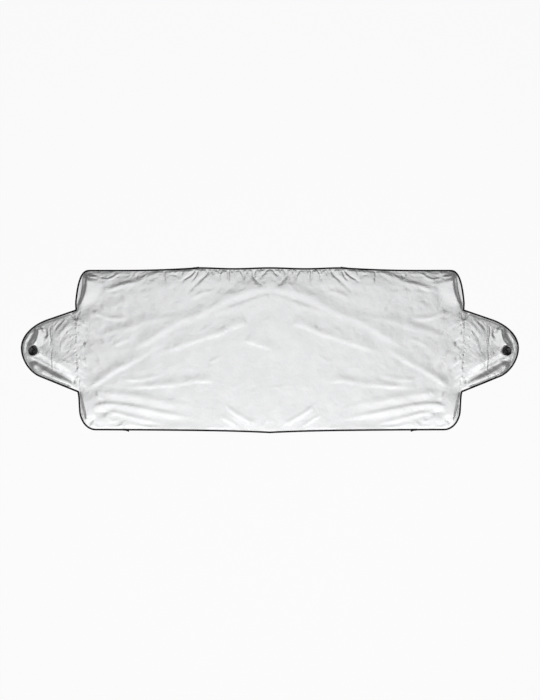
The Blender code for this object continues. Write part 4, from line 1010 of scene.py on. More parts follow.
@dataclass(frozen=True)
class ClothFinish:
    """A woven cloth with a coating.

    Attributes:
        name: the material's name.
        colour: the coating's own colour.
        shade: the colour where the coating is dull.
        roughness: lowest and highest roughness.
        metallic: how metallic the coating is.
        crinkle_depth: depth of the small creases, in metres.
        weave_depth: depth of the weave, in metres.
        gloss: the specular level.
        blotches: dull places to the metre.
        crinkles: small creases to the metre.
        crease_share: how sharp they are, from 0 to 1.
        threads: scale of the weave.
    """

    name: str
    colour: tuple[float, float, float]
    shade: tuple[float, float, float]
    roughness: tuple[float, float]
    metallic: float
    crinkle_depth: float
    weave_depth: float
    gloss: float = 0.5
    blotches: float = 16.0
    crinkles: float = 45.0
    crease_share: float = 0.25
    threads: float = 1800.0

    def build(self, kit: ShaderKit) -> bpy.types.Material:
        """Makes the material.

        Args:
            kit: the shared node groups.

        Returns:
            The material.
        """
        material, tree, shader = new_material(self.name)
        place = add_node(tree, "ShaderNodeTexCoord")
        tone = add_node(tree, "ShaderNodeTexNoise", {"Scale": self.blotches, "Detail": 4.0})
        vary_surface(tree, shader, tone, (self.shade, self.colour), self.roughness)
        creasing = {"Scale": self.crinkles, "Crease Share": self.crease_share}
        crinkle = add_node(tree, "ShaderNodeGroup", creasing, node_tree=kit.crinkle)
        weave = add_node(tree, "ShaderNodeGroup", {"Threads": self.threads}, node_tree=kit.weave)
        creases = add_node(tree, "ShaderNodeBump", {"Distance": self.crinkle_depth, "Strength": 1.0})
        yarns = add_node(tree, "ShaderNodeBump", {"Distance": self.weave_depth, "Strength": 1.0})
        wire(
            tree,
            *((place, "Object", node, "Vector") for node in (tone, crinkle, weave)),
            (crinkle, "Height", creases, "Height"), (weave, "Height", yarns, "Height"),
            (creases, "Normal", yarns, "Normal"), (yarns, "Normal", shader, "Normal"),
        )
        shader.inputs["Metallic"].default_value = self.metallic
        shader.inputs["Specular IOR Level"].default_value = self.gloss
        return material


@dataclass(frozen=True)
class PlainFinish:
    """A moulded, plated or spun surface with a fine unevenness.

    Attributes:
        name: the material's name.
        colour: the surface's colour.
        roughness: lowest and highest roughness.
        metallic: 0 or 1.
        scale: grains to the metre.
        depth: depth of the grain, in metres.
        sheen: weight of the fibres' sheen.
        contrast: how far the colour strays to either side, as a share.
    """

    name: str
    colour: tuple[float, float, float]
    roughness: tuple[float, float]
    metallic: float
    scale: float
    depth: float
    sheen: float = 0.0
    contrast: float = 0.25

    def build(self) -> bpy.types.Material:
        """Makes the material.

        Returns:
            The material.
        """
        material, tree, shader = new_material(self.name)
        place = add_node(tree, "ShaderNodeTexCoord")
        grain = add_node(tree, "ShaderNodeTexNoise", {"Scale": self.scale, "Detail": 3.0})
        low = [(1 - self.contrast) * c for c in self.colour]
        high = [min(1.0, (1 + self.contrast) * c) for c in self.colour]
        vary_surface(tree, shader, grain, (low, high), self.roughness)
        bump = add_node(tree, "ShaderNodeBump", {"Distance": self.depth, "Strength": 1.0})
        wire(
            tree,
            (place, "Object", grain, "Vector"), (grain, "Fac", bump, "Height"),
            (bump, "Normal", shader, "Normal"),
        )
        shader.inputs["Metallic"].default_value = self.metallic
        shader.inputs["Sheen Weight"].default_value = self.sheen
        return material


@dataclass
class Finishes:
    """Every material of the shade."""

    kit: ShaderKit
    silver: bpy.types.Material = field(init=False)
    facing: bpy.types.Material = field(init=False)
    tape: bpy.types.Material = field(init=False)
    rubber: bpy.types.Material = field(init=False)
    metal: bpy.types.Material = field(init=False)
    silver_thread: bpy.types.Material = field(init=False)
    black_thread: bpy.types.Material = field(init=False)

    def __post_init__(self) -> None:
        """Builds the materials."""
        self.silver = ClothFinish(
            "silver_coated_cloth", colour=(0.88, 0.885, 0.89), shade=(0.71, 0.715, 0.72),
            roughness=(0.31, 0.41), metallic=0.85, crinkle_depth=1.15 * MM, weave_depth=0.03 * MM,
        ).build(self.kit)
        self.facing = ClothFinish(
            "facing_cloth", colour=(0.62, 0.625, 0.63), shade=(0.55, 0.555, 0.56),
            roughness=(0.55, 0.7), metallic=0.2, crinkle_depth=0.25 * MM, weave_depth=0.04 * MM,
        ).build(self.kit)
        self.tape = ClothFinish(
            "woven_edge_tape", colour=(0.012, 0.012, 0.013), shade=(0.008, 0.008, 0.009),
            roughness=(0.6, 0.8), metallic=0.0, crinkle_depth=0.05 * MM, weave_depth=0.08 * MM, gloss=0.12,
        ).build(self.kit)
        self.rubber = PlainFinish(
            "cup_rubber", colour=(0.012, 0.012, 0.013), roughness=(0.12, 0.22),
            metallic=0.0, scale=90.0, depth=0.02 * MM,
        ).build()
        self.metal = PlainFinish(
            "plated_eyelet", colour=(0.62, 0.61, 0.60), roughness=(0.25, 0.4),
            metallic=1.0, scale=400.0, depth=0.01 * MM,
        ).build()
        self.silver_thread, self.black_thread = (
            PlainFinish(name, colour, (0.5, 0.7), 0.0, scale=900.0, depth=0.03 * MM, sheen=0.3).build()
            for name, colour in (("silver_thread", (0.62, 0.62, 0.62)), ("black_thread", (0.03, 0.03, 0.03)))
        )


def place_piece(
    name: str, mesh: bpy.types.Mesh, stands_for: Sequence[str] = ()
) -> bpy.types.Object:
    """Puts a finished mesh in the scene as a piece that rides on the shade's one body.

    Args:
        name: the piece's name.
        mesh: its mesh, with its finish.
        stands_for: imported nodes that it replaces.

    Returns:
        The object.
    """
    piece = bpy.data.objects.new(name, mesh)
    bpy.context.scene.collection.objects.link(piece)
    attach(piece, "root")
    if stands_for:
        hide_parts(*stands_for)
    log.info("%s: %d faces", name, len(mesh.polygons))
    return piece


def add_piece(
    name: str,
    points: np.ndarray,
    faces: Iterable[Sequence[int]],
    material: bpy.types.Material,
    stands_for: Sequence[str] = (),
) -> bpy.types.Object:
    """Makes a piece from corners and faces, shaded smooth except where it turns sharply.

    Args:
        name: the piece's name.
        points: its corners, one row each.
        faces: corner numbers of each face, facing out.
        material: its finish.
        stands_for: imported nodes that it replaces.

    Returns:
        The object.
    """
    mesh = bpy.data.meshes.new(name)
    mesh.from_pydata([tuple(p) for p in points], [], [tuple(f) for f in faces])
    mesh.update()
    mesh.materials.append(material)
    mesh.shade_smooth()
    mesh.set_sharp_from_angle(angle=SHARP_TURN)
    return place_piece(name, mesh, stands_for)


def graded(
    low: float,
    high: float,
    step: float,
    close: Sequence[tuple[float, float, float]] = (),
    growth: float = 0.15,
) -> np.ndarray:
    """Grid lines from low to high, closer together in some stretches.

    Args:
        low: the first line.
        high: the last line lies here or just beyond.
        step: the usual spacing.
        close: stretches as (start, end, spacing).
        growth: how fast the spacing grows with the distance from a stretch.

    Returns:
        The places of the lines.
    """
    lines = [low]
    while lines[-1] < high:
        here = lines[-1]
        pitches = [near + growth * max(start - here, here - end, 0.0) for start, end, near in close]
        lines.append(here + min([step, *pitches]))
    return np.array(lines)


@dataclass
class SheetCut:
    """A flat cut of cloth as a close mesh.

    Attributes:
        loop: corners of its edge, one row each.
        blocks: blocks of squares, each as its grid lines along X and along Y.
        holes: edges of round holes.
        edge_room: room between the squares and the cut's edges, in squares.
    """

    loop: np.ndarray
    blocks: list[tuple[np.ndarray, np.ndarray]]
    holes: list[np.ndarray] = field(default_factory=list)
    edge_room: float = 0.55
    points: np.ndarray = field(init=False)
    faces: list[tuple[int, ...]] = field(init=False)
    rims: list[list[int]] = field(init=False)

    def __post_init__(self) -> None:
        """Makes the mesh: squares, and triangles that join them to each other and to the edge."""
        rings = [self.loop, *self.holes]
        trees = [Outline.ring_tree(ring, 1.0 * MM) for ring in rings]
        nodes, kept, squares = [], [], []
        for across, along in self.blocks:
            first = sum(len(part) for part in nodes)
            found, cells = self._squares(across, along, trees)
            nodes.append(found)
            kept.append(cells)
            numbers = np.arange(len(found)).reshape(len(across), len(along)) + first
            squares += [
                tuple(int(numbers[i + a, j + b]) for a, b in ((0, 0), (1, 0), (1, 1), (0, 1)))
                for i, j in zip(*np.nonzero(cells))
            ]
        nodes = np.concatenate(nodes)
        sides: set[tuple[int, int]] = set()
        for square in squares:
            for a, b in zip(square, square[1:] + square[:1]):
                if (b, a) in sides:
                    sides.remove((b, a))
                else:
                    sides.add((a, b))
        fringe = sorted({k for side in sides for k in side})
        spots = [Vector(p) for ring in rings for p in ring] + [Vector(nodes[k]) for k in fringe]
        starts = np.cumsum([0, *(len(ring) for ring in rings)])
        edges = [
            (int(start + k), int(start + (k + 1) % len(ring)))
            for start, ring in zip(starts, rings)
            for k in range(len(ring))
        ]
        place = {k: int(starts[-1]) + n for n, k in enumerate(fringe)}
        edges += [(place[a], place[b]) for a, b in sorted(sides)]
        found = delaunay_2d_cdt(spots, edges, [list(range(len(self.loop)))], 1, 1e-7)
        owner = {origin: k for k, origins in enumerate(found[3]) for origin in origins}
        corners = [[found[0][k] for k in face] for face in found[2]]
        middles = np.array([sum(face, Vector((0, 0))) / len(face) for face in corners])
        apart = np.ones(len(middles), bool)
        for (across, along), cells in zip(self.blocks, kept):
            column = np.searchsorted(across, middles[:, 0]) - 1
            row = np.searchsorted(along, middles[:, 1]) - 1
            within = (column >= 0) & (column < cells.shape[0]) & (row >= 0) & (row < cells.shape[1])
            apart[within] &= ~cells[column[within], row[within]]
        for hole in self.holes:
            apart &= ~self._inside(middles, hole)
        used = sorted({k for square in squares for k in square} - set(fringe))
        new = {k: len(found[0]) + n for n, k in enumerate(used)}
        new.update({k: owner[place[k]] for k in fringe})
        self.points = np.array([*((*p,) for p in found[0]), *(tuple(nodes[k]) for k in used)])
        self.faces = [tuple(new[k] for k in square) for square in squares]
        self.faces += [self._up(tuple(face)) for face, free in zip(found[2], apart) if free]
        self.rims = [[owner[int(start) + k] for k in range(len(ring))] for start, ring in zip(starts, rings)]

    def _squares(
        self, across: np.ndarray, along: np.ndarray, trees: Sequence[KDTree]
    ) -> tuple[np.ndarray, np.ndarray]:
        """The nodes of a block, and which of its squares lie clear of the cut's edges.

        Args:
            across: the block's grid lines along X.
            along: its grid lines along Y.
            trees: search trees of the cut's edges.

        Returns:
            The nodes, one row each, and a table of the squares that are kept.
        """
        nodes = np.stack(np.meshgrid(across, along, indexing="ij"), axis=-1).reshape(-1, 2)
        pitch = np.maximum(np.gradient(across)[:, None], np.gradient(along)[None, :]).reshape(-1)
        inside = self._inside(nodes, self.loop)
        for hole in self.holes:
            inside &= ~self._inside(nodes, hole)
        for tree in trees:
            rows = np.flatnonzero(inside)
            away = np.array([tree.find((*nodes[k], 0.0))[2] for k in rows])
            inside[rows[away < self.edge_room * pitch[rows]]] = False
        inside = inside.reshape(len(across), len(along))
        return nodes, inside[:-1, :-1] & inside[1:, :-1] & inside[:-1, 1:] & inside[1:, 1:]

    def _up(self, face: tuple[int, ...]) -> tuple[int, ...]:
        """Turns a face up.

        Args:
            face: its corner numbers.

        Returns:
            Them, in the order that faces up.
        """
        a, b, c = (self.points[k] for k in face[:3])
        turn = (b[0] - a[0]) * (c[1] - a[1]) - (b[1] - a[1]) * (c[0] - a[0])
        return face if turn > 0 else face[::-1]

    @staticmethod
    def _inside(points: np.ndarray, ring: np.ndarray) -> np.ndarray:
        """Which points lie inside a closed ring.

        Args:
            points: the points, one row each.
            ring: the ring's corners, one row each.

        Returns:
            True or False for each point.
        """
        inside = np.zeros(len(points), bool)
        for (ax, ay), (bx, by) in zip(ring, np.roll(ring, -1, axis=0)):
            if ay == by:
                continue
            rows = (ay > points[:, 1]) != (by > points[:, 1])
            cross = ax + (points[:, 1] - ay) * (bx - ax) / (by - ay)
            inside ^= rows & (points[:, 0] < cross)
        return inside

    def closed(self, tops: np.ndarray, thickness: float) -> tuple[np.ndarray, list[tuple[int, ...]]]:
        """The laid cloth as a closed sheet.

        Args:
            tops: height of the upper face at each point.
            thickness: the cloth's thickness.

        Returns:
            The corners and the faces.
        """
        count = len(self.points)
        upper = np.column_stack([self.points, tops])
        lower = upper - np.array([0, 0, thickness])
        faces = [*self.faces, *(tuple(k + count for k in face[::-1]) for face in self.faces)]
        ways = {way for face in self.faces for way in zip(face, face[1:] + face[:1])}
        for rim in self.rims:
            for a, b in zip(rim, rim[1:] + rim[:1]):
                if (a, b) not in ways:
                    a, b = b, a
                faces.append((b, a, a + count, b + count))
        return np.concatenate([upper, lower]), faces


@dataclass
class ClothWork:
    """What the sheets, the tape and the stitching share.

    Attributes:
        sizes: the shade's sizes.
        outline: the finished outline.
        lie: how the cloth lies.
        finishes: the materials.
    """

    sizes: ShadeSizes
    outline: Outline
    lie: ClothLie
    finishes: Finishes


@dataclass
class ClothSheets(ClothWork):
    """The panel, the two flaps and the second layer behind each flap's tip.

    Attributes:
        pitch: side of the panel's squares.
        close_pitch: their side among the top edge's gathers and at the panel's ends.
        flap_pitch: side of the flaps' squares.
        gather_depth: depth of the gathered strip below the top edge.
        end_strip: width of the strips with close squares at the panel's ends.
        hem_strip: height of the strip along the bottom edge.
        hem_pitch: side of the squares there.
        edge_step: spacing of the points on straight cut edges.
        hole_radius: radius of the hole for the cup's eyelet.
    """

    pitch: float = 5.6 * MM
    close_pitch: float = 2.6 * MM
    flap_pitch: float = 2.3 * MM
    gather_depth: float = 52 * MM
    end_strip: float = 40 * MM
    hem_strip: float = 25 * MM
    hem_pitch: float = 3.8 * MM
    edge_step: float = 5 * MM
    hole_radius: float = 4.8 * MM

    def seam(self, side: Side, inward: float = 0.0) -> np.ndarray:
        """The panel's sewn edge between the notches, top to bottom.

        Args:
            side: which end of the shade.
            inward: how far towards the middle of the panel the line lies.

        Returns:
            Points along the line.
        """
        marks = self.outline.marks
        ends = self.outline.at(
            [marks[("notch top", side)], marks[("notch bottom", side)]], self.sizes.cut_depth
        )
        count = round(float(np.linalg.norm(ends[1] - ends[0])) / self.edge_step)
        share = np.linspace(0, 1, count + 1)[:, None]
        return ends[0] * (1 - share) + ends[1] * share - np.array([side.value * inward, 0])

    def lay(
        self, name: str, cut: SheetCut, layer: Layer, material: bpy.types.Material, slot: str
    ) -> bpy.types.Object:
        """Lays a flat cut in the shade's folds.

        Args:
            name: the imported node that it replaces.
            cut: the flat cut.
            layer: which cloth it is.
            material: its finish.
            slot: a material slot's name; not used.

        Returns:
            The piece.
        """
        s = self.sizes
        tops = self.lie.heights(cut.points) + s.level(layer) + s.cloth
        points, faces = cut.closed(tops, s.cloth)
        return add_piece(f"{name}_cloth", points, faces, material, [name])

    def panel(self) -> bpy.types.Object:
        """Makes the long panel.

        Returns:
            The piece.
        """
        s, o = self.sizes, self.outline
        top = o.span(("notch top", Side.LEFT), ("notch top", Side.RIGHT))
        bottom = o.span(("notch bottom", Side.RIGHT), ("notch bottom", Side.LEFT))
        loop = np.concatenate([
            o.at(top, s.cut_depth), self.seam(Side.RIGHT)[1:-1],
            o.at(bottom, s.cut_depth), self.seam(Side.LEFT)[::-1][1:-1],
        ])
        end_strip = (s.half_width - self.end_strip, s.half_width, self.close_pitch)
        hem_strip = (-s.half_height, self.hem_strip - s.half_height, self.hem_pitch)
        wide = graded(0, s.half_width, self.pitch, [end_strip])
        gathered = graded(0, s.half_width, self.close_pitch)
        split = s.half_height - self.gather_depth
        low = graded(-s.half_height, split - self.pitch, self.pitch, [hem_strip])
        high = graded(split + self.close_pitch / 2, s.half_height, self.close_pitch)
        blocks = [(np.concatenate([-x[:0:-1], x]), y) for x, y in ((wide, low), (gathered, high))]
        cut = SheetCut(loop, blocks)
        piece = self.lay("main_panel", cut, Layer.PANEL, self.finishes.silver, "silver_cloth")
        return piece

    def hole(self, side: Side, count: int = 24) -> np.ndarray:
        """The edge of the hole for the cup's eyelet.

        Args:
            side: which end of the shade.
            count: how many corners it has.

        Returns:
            The corners, one row each.
        """
        turn = np.linspace(0, 2 * math.pi, count, endpoint=False)
        centre = np.array([side.value * self.sizes.cup_x, self.sizes.cup_y])
        return centre + self.hole_radius * np.stack([np.cos(turn), np.sin(turn)], axis=1)

    def flap(self, side: Side) -> bpy.types.Object:
        """Makes a flap, from under the panel's edge to its tip.

        Args:
            side: which end of the shade.

        Returns:
            The piece.
        """
        lip = self.outline.at(self.outline.round_span("notch", side), self.sizes.cut_depth)
        under = self.seam(side, self.sizes.seam_lap)
        loop = np.concatenate([lip, under[::-1] if side is Side.RIGHT else under])
        cut = SheetCut(loop, [self.even_lines(loop, self.flap_pitch)], [self.hole(side)])
        piece = self.lay(f"{side.word}_flap", cut, Layer.FLAP, self.finishes.silver, "silver_cloth")
        self.declare(piece, loop, f"{side.word}_tip_facing_cloth")
        return piece

    def facing(self, side: Side) -> bpy.types.Object:
        """Makes the second layer behind a flap's tip.

        Args:
            side: which end of the shade.

        Returns:
            The piece.
        """
        lip = self.outline.at(self.outline.round_span("facing", side), self.sizes.cut_depth)
        count = round(abs(float(lip[0][1] - lip[-1][1])) / self.edge_step)
        share = np.linspace(0, 1, count + 1)[1:-1, None]
        loop = np.concatenate([lip, lip[-1] * (1 - share) + lip[0] * share])
        cut = SheetCut(loop, [self.even_lines(loop, self.flap_pitch)], [self.hole(side)])
        piece = self.lay(f"{side.word}_tip_facing", cut, Layer.FACING, self.finishes.facing, "facing_cloth")
        self.declare(piece, loop, "floor")
        return piece

    @staticmethod
    def even_lines(loop: np.ndarray, pitch: float) -> tuple[np.ndarray, np.ndarray]:
        """Evenly spaced grid lines over a cut, along X and along Y."""
        low, high = loop.min(axis=0), loop.max(axis=0)
        return graded(low[0], high[0], pitch), graded(low[1], high[1], pitch)

    @staticmethod
    def declare(piece: bpy.types.Object, loop: np.ndarray, under: str) -> None:
        """Takes a cloth that isn't a rectangle, its cut edge and what it rests on, and does nothing with
        them.

        Args:
            piece: the cloth; not used.
            loop: its cut edge; not used.
            under: what it rests on; not used.
        """


@dataclass
class EdgeTape(ClothWork):
    """The four lengths of tape folded over the cut edge.

    Attributes:
        sleeve_stations: stations at each end of a side length that cover another length's end.
    """

    sleeve_stations: int = 3

    def channel(self, station: int) -> tuple[float, float]:
        """The room between the tape's two sides at a station.

        Args:
            station: the station's number.

        Returns:
            Levels of the upper and the lower side's inner face over the flap's underside.
        """
        s, o = self.sizes, self.outline
        i = station % len(o.points)
        side = Side.RIGHT if o.points[i][0] > 0 else Side.LEFT
        flap = sorted((o.marks[("notch top", side)], o.marks[("notch bottom", side)]))
        facing = sorted((o.marks[("facing top", side)], o.marks[("facing bottom", side)]))
        on_flap = flap[0] <= i <= flap[1]
        beside_notch = flap[0] <= i <= flap[0] + 1 or flap[1] - 1 <= i <= flap[1]
        top = s.level(Layer.PANEL if beside_notch or not on_flap else Layer.FLAP)
        bottom = s.level(Layer.FLAP if on_flap else Layer.PANEL)
        if facing[0] - 1 <= i <= facing[1] + 1:
            bottom = s.level(Layer.FACING)
        return top + s.cloth + s.clearance, bottom - s.clearance

    def length(self, name: str, stations: list[int], sleeves: bool = False) -> bpy.types.Object:
        """A length of tape.

        Args:
            name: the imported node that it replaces.
            stations: its stations along the outline.
            sleeves: whether each end covers another tape's end.

        Returns:
            The piece.
        """
        s = self.sizes
        depths = np.array([s.cut_depth, 0.5 * s.tape_width, s.tape_width])
        lies = [self.lie.heights(self.outline.at(stations, float(d))) for d in depths]
        rows = []
        for k, station in enumerate(stations):
            from_end = min(k, len(stations) - 1 - k)
            at_end = sleeves and from_end < self.sleeve_stations
            grow = s.sleeve_growth if at_end else 0.0
            flare = 0.0
            if sleeves and from_end == 0:
                upper = self.outline.points[station % len(self.outline.points)][1] > 0
                flare = s.top_join_flare if upper else s.bottom_join_flare
            top, bottom = self.channel(station)
            edge, middle, lip = (float(z[k]) for z in lies)
            section = self._section(top + grow, bottom - grow, (edge, middle, lip), -grow - flare)
            for depth, z in section:
                spot = self.outline.at([station], depth)[0]
                rows.append((spot[0], spot[1], z))
        count = len(section)
        faces = []
        for k in range(len(stations) - 1):
            for a in range(count):
                b = (a + 1) % count
                faces.append((k * count + a, (k + 1) * count + a, (k + 1) * count + b, k * count + b))
        faces.append(tuple(range(count)))
        last = (len(stations) - 1) * count
        faces.append(tuple(range(last + count - 1, last - 1, -1)))
        mesh = bmesh.new()
        verts = [mesh.verts.new(p) for p in rows]
        for face in faces:
            mesh.faces.new([verts[k] for k in face])
        bmesh.ops.triangulate(mesh, faces=[f for f in mesh.faces if len(f.verts) > 4])
        bmesh.ops.recalc_face_normals(mesh, faces=mesh.faces)
        mesh.verts.index_update()
        points = np.array([tuple(v.co) for v in mesh.verts])
        out = [tuple(v.index for v in f.verts) for f in mesh.faces]
        mesh.free()
        return add_piece(f"{name}_binding", points, out, self.finishes.tape, [name])

    def _section(
        self, top: float, bottom: float, lies: tuple[float, float, float], fold: float
    ) -> list[tuple[float, float]]:
        """The tape's section at a station.

        Args:
            top: level of the upper side's inner face.
            bottom: level of the lower side's inner face.
            lies: the cloth's heights at the cut edge, under the tape's middle and at its lips.
            fold: depth of the outer fold.

        Returns:
            The corners as (depth, height), round the outside first.
        """
        s = self.sizes
        edge, middle, lip = lies
        t, w = s.tape, s.tape_width
        crest = 0.5 * (top + bottom)
        upper = [(w, lip + top + 0.75 * t), (0.75 * w, lip + top + t), (0.45 * w, middle + top + t)]
        upper += [(fold + 0.22 * w, edge + top + 0.95 * t), (fold + 0.08 * w, edge + top + 0.55 * t)]
        lower = [(fold + 0.08 * w, edge + bottom - 0.55 * t), (fold + 0.22 * w, edge + bottom - 0.95 * t)]
        lower += [(0.45 * w, middle + bottom - t), (0.75 * w, lip + bottom - t), (w, lip + bottom - 0.75 * t)]
        inner = [(w, lip + bottom), (0.5 * w, middle + bottom), (fold + t, edge + bottom)]
        inner += [(fold + t, edge + top), (0.5 * w, middle + top), (w, lip + top)]
        return [*upper, (fold, edge + crest), *lower, *inner]

    def runs(self) -> dict[str, list[int]]:
        """Where each length runs.

        Returns:
            The stations of each length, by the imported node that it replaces.
        """
        o, left, right = self.outline, Side.LEFT, Side.RIGHT
        return {
            "top_edge_tape": o.span(("top tape end", left), ("top tape end", right)),
            "right_edge_tape": o.span(("top join", right), ("bottom join", right)),
            "bottom_edge_tape": o.span(("bottom tape end", right), ("bottom tape end", left)),
            "left_edge_tape": o.span(("bottom join", left), ("top join", left)),
        }

    def build(self) -> None:
        """Makes the four lengths."""
        for name, stations in self.runs().items():
            self.length(name, stations, sleeves=name in ("left_edge_tape", "right_edge_tape"))


@dataclass(frozen=True)
class StitchKind:
    """How a seam is sewn.

    Attributes:
        pitch: distance from one stitch to the next.
        length: length of the thread that shows in each stitch.
        thread: the thread's width.
        wander: how far a stitch may turn from the line, in radians.
    """

    pitch: float
    length: float
    thread: float
    wander: float = 0.12

    def sizes(self) -> dict[str, float]:
        """The tree's number inputs."""
        names = ("Pitch", "Stitch Length", "Thread", "Wander")
        return dict(zip(names, (self.pitch, self.length, self.thread, self.wander)))

    def tree(self, name: str, material: bpy.types.Material) -> bpy.types.NodeTree:
        """Node tree that sews stitches along every edge line of a mesh.

        Args:
            name: the tree's name.
            material: the thread's finish.

        Returns:
            The tree, with inputs for the stitch's sizes.
        """
        form = "Geometry"
        tree, start, end = open_group(name, "GeometryNodeTree", form, self.sizes(), form, form)
        line = add_node(tree, "GeometryNodeMeshToCurve")
        spots = add_node(tree, "GeometryNodeCurveToPoints", mode="LENGTH")
        bead = add_node(tree, "GeometryNodeMeshUVSphere", {"Segments": 6, "Rings": 4, "Radius": 0.5})
        turn = add_node(tree, "FunctionNodeAlignRotationToVector", axis="X", pivot_axis="Z")
        chance = add_node(tree, "FunctionNodeRandomValue", {"Seed": 5}, data_type="FLOAT")
        least = add_node(tree, "ShaderNodeMath", {1: -1}, operation="MULTIPLY")
        twist = add_node(tree, "ShaderNodeCombineXYZ")
        turned = add_node(tree, "FunctionNodeRotateRotation", rotation_space="LOCAL")
        size = add_node(tree, "ShaderNodeCombineXYZ")
        place = add_node(tree, "GeometryNodeInstanceOnPoints")
        solid = add_node(tree, "GeometryNodeRealizeInstances")
        dress = add_node(tree, "GeometryNodeSetMaterial", {"Material": material})
        wire(
            tree,
            (start, form, line, "Mesh"), (line, "Curve", spots, "Curve"), (start, "Pitch", spots, "Length"),
            (spots, "Tangent", turn, "Vector"), (start, "Wander", least, 0),
            (least, 0, chance, 2), (start, "Wander", chance, 3), (chance, 1, twist, "Z"),
            (turn, "Rotation", turned, "Rotation"), (twist, 0, turned, "Rotate By"),
            (start, "Stitch Length", size, "X"), (start, "Thread", size, "Y"), (start, "Thread", size, "Z"),
            (spots, "Points", place, "Points"), (bead, "Mesh", place, "Instance"),
            (turned, "Rotation", place, "Rotation"), (size, 0, place, "Scale"),
            (place, "Instances", solid, form), (solid, form, dress, form), (dress, form, end, form),
        )
        return tree

    def sew(
        self, name: str, lines: Sequence[np.ndarray], material: bpy.types.Material, slot: str
    ) -> bpy.types.Object:
        """Sews stitches along lines and keeps them as a plain mesh.

        Args:
            name: the piece's name.
            lines: points along each line, one row each.
            material: the thread's finish.
            slot: a material slot's name; not used.

        Returns:
            The piece.
        """
        points = np.concatenate(lines)
        starts = np.cumsum([0, *(len(line) for line in lines)])
        edges = [(int(s) + k, int(s) + k + 1) for s, line in zip(starts, lines) for k in range(len(line) - 1)]
        guide = bpy.data.meshes.new(f"{name}_guide")
        guide.from_pydata([tuple(p) for p in points], edges, [])
        holder = bpy.data.objects.new(f"{name}_guide", guide)
        bpy.context.scene.collection.objects.link(holder)
        sewing = holder.modifiers.new("sewing", "NODES")
        tree = self.tree(name, material)
        sizes = self.sizes()
        sewing.node_group = tree
        for item in tree.interface.items_tree:
            if item.in_out == "INPUT" and item.name in sizes:
                sewing[item.identifier] = sizes[item.name]
        seen = holder.evaluated_get(bpy.context.evaluated_depsgraph_get())
        mesh = bpy.data.meshes.new_from_object(seen)
        holder.modifiers.remove(sewing)
        bpy.data.objects.remove(holder)
        mesh.shade_smooth()
        return place_piece(name, mesh)


@dataclass
class Stitching(ClothWork):
    """The thread that shows: on the tape, along the seams and along the flaps' hems.

    Attributes:
        sheets: the cloths.
        tape_kind: how the tape is sewn.
        cloth_kind: how the seams and hems are sewn.
        tape_inset: from the tape's lip to its stitches.
        seam_insets: from the panel's sewn edge to its two rows of stitches.
        hem_insets: from the second layer's edge to its two rows of stitches.
        hem_room: from the tape to the ends of those rows.
        hem_points: points along each of them.
    """

    sheets: ClothSheets
    tape_kind: StitchKind = StitchKind(3.2 * MM, 2.5 * MM, 0.45 * MM)
    cloth_kind: StitchKind = StitchKind(3.6 * MM, 2.8 * MM, 0.40 * MM)
    tape_inset: float = 1.6 * MM
    seam_insets: tuple[float, float] = (2.2 * MM, 7.6 * MM)
    hem_insets: tuple[float, float] = (3.0 * MM, 8.0 * MM)
    hem_room: float = 3.0 * MM
    hem_points: int = 60

    def on_cloth(self, line: np.ndarray, rise: float) -> np.ndarray:
        """A line in the plane, laid on the cloth at a height over the flap cloth's level."""
        return np.column_stack([line, self.lie.heights(line) + rise])

    def tape_line(self, tape: EdgeTape, stations: list[int]) -> np.ndarray:
        """The stitches' line along a length of tape.

        Args:
            tape: the edge tape.
            stations: the length's stations along the outline.

        Returns:
            Points along the line, on the tape's upper face.
        """
        s = self.sizes
        flat = self.outline.at(stations, s.tape_width - self.tape_inset)
        lip = self.lie.heights(self.outline.at(stations, s.tape_width))
        rise = np.array([tape.channel(station)[0] for station in stations])
        return np.column_stack([flat, lip + rise + s.tape])

    def build(self, tape: EdgeTape) -> None:
        """Sews everything.

        Args:
            tape: the edge tape.
        """
        s = self.sizes
        lines = [self.tape_line(tape, stations) for stations in tape.runs().values()]
        self.tape_kind.sew("tape_stitches", lines, self.finishes.black_thread, "edge_tape")
        seam_rise = s.level(Layer.PANEL) + s.cloth
        seams = [
            self.on_cloth(self.sheets.seam(side, inset)[2:-2], seam_rise)
            for side in Side
            for inset in self.seam_insets
        ]
        self.cloth_kind.sew("seam_stitches", seams, self.finishes.silver_thread, "silver_cloth")
        hems = []
        for side in Side:
            stations = self.outline.round_span("facing", side)
            ends = self.outline.at(stations, s.tape_width + self.hem_room)[[0, -1]]
            for inset in self.hem_insets:
                share = np.linspace(0, 1, self.hem_points)[:, None]
                flat = ends[0] * (1 - share) + ends[1] * share + np.array([side.value * inset, 0])
                hems.append(self.on_cloth(flat, s.cloth))
        self.cloth_kind.sew("hem_stitches", hems, self.finishes.silver_thread, "silver_cloth")


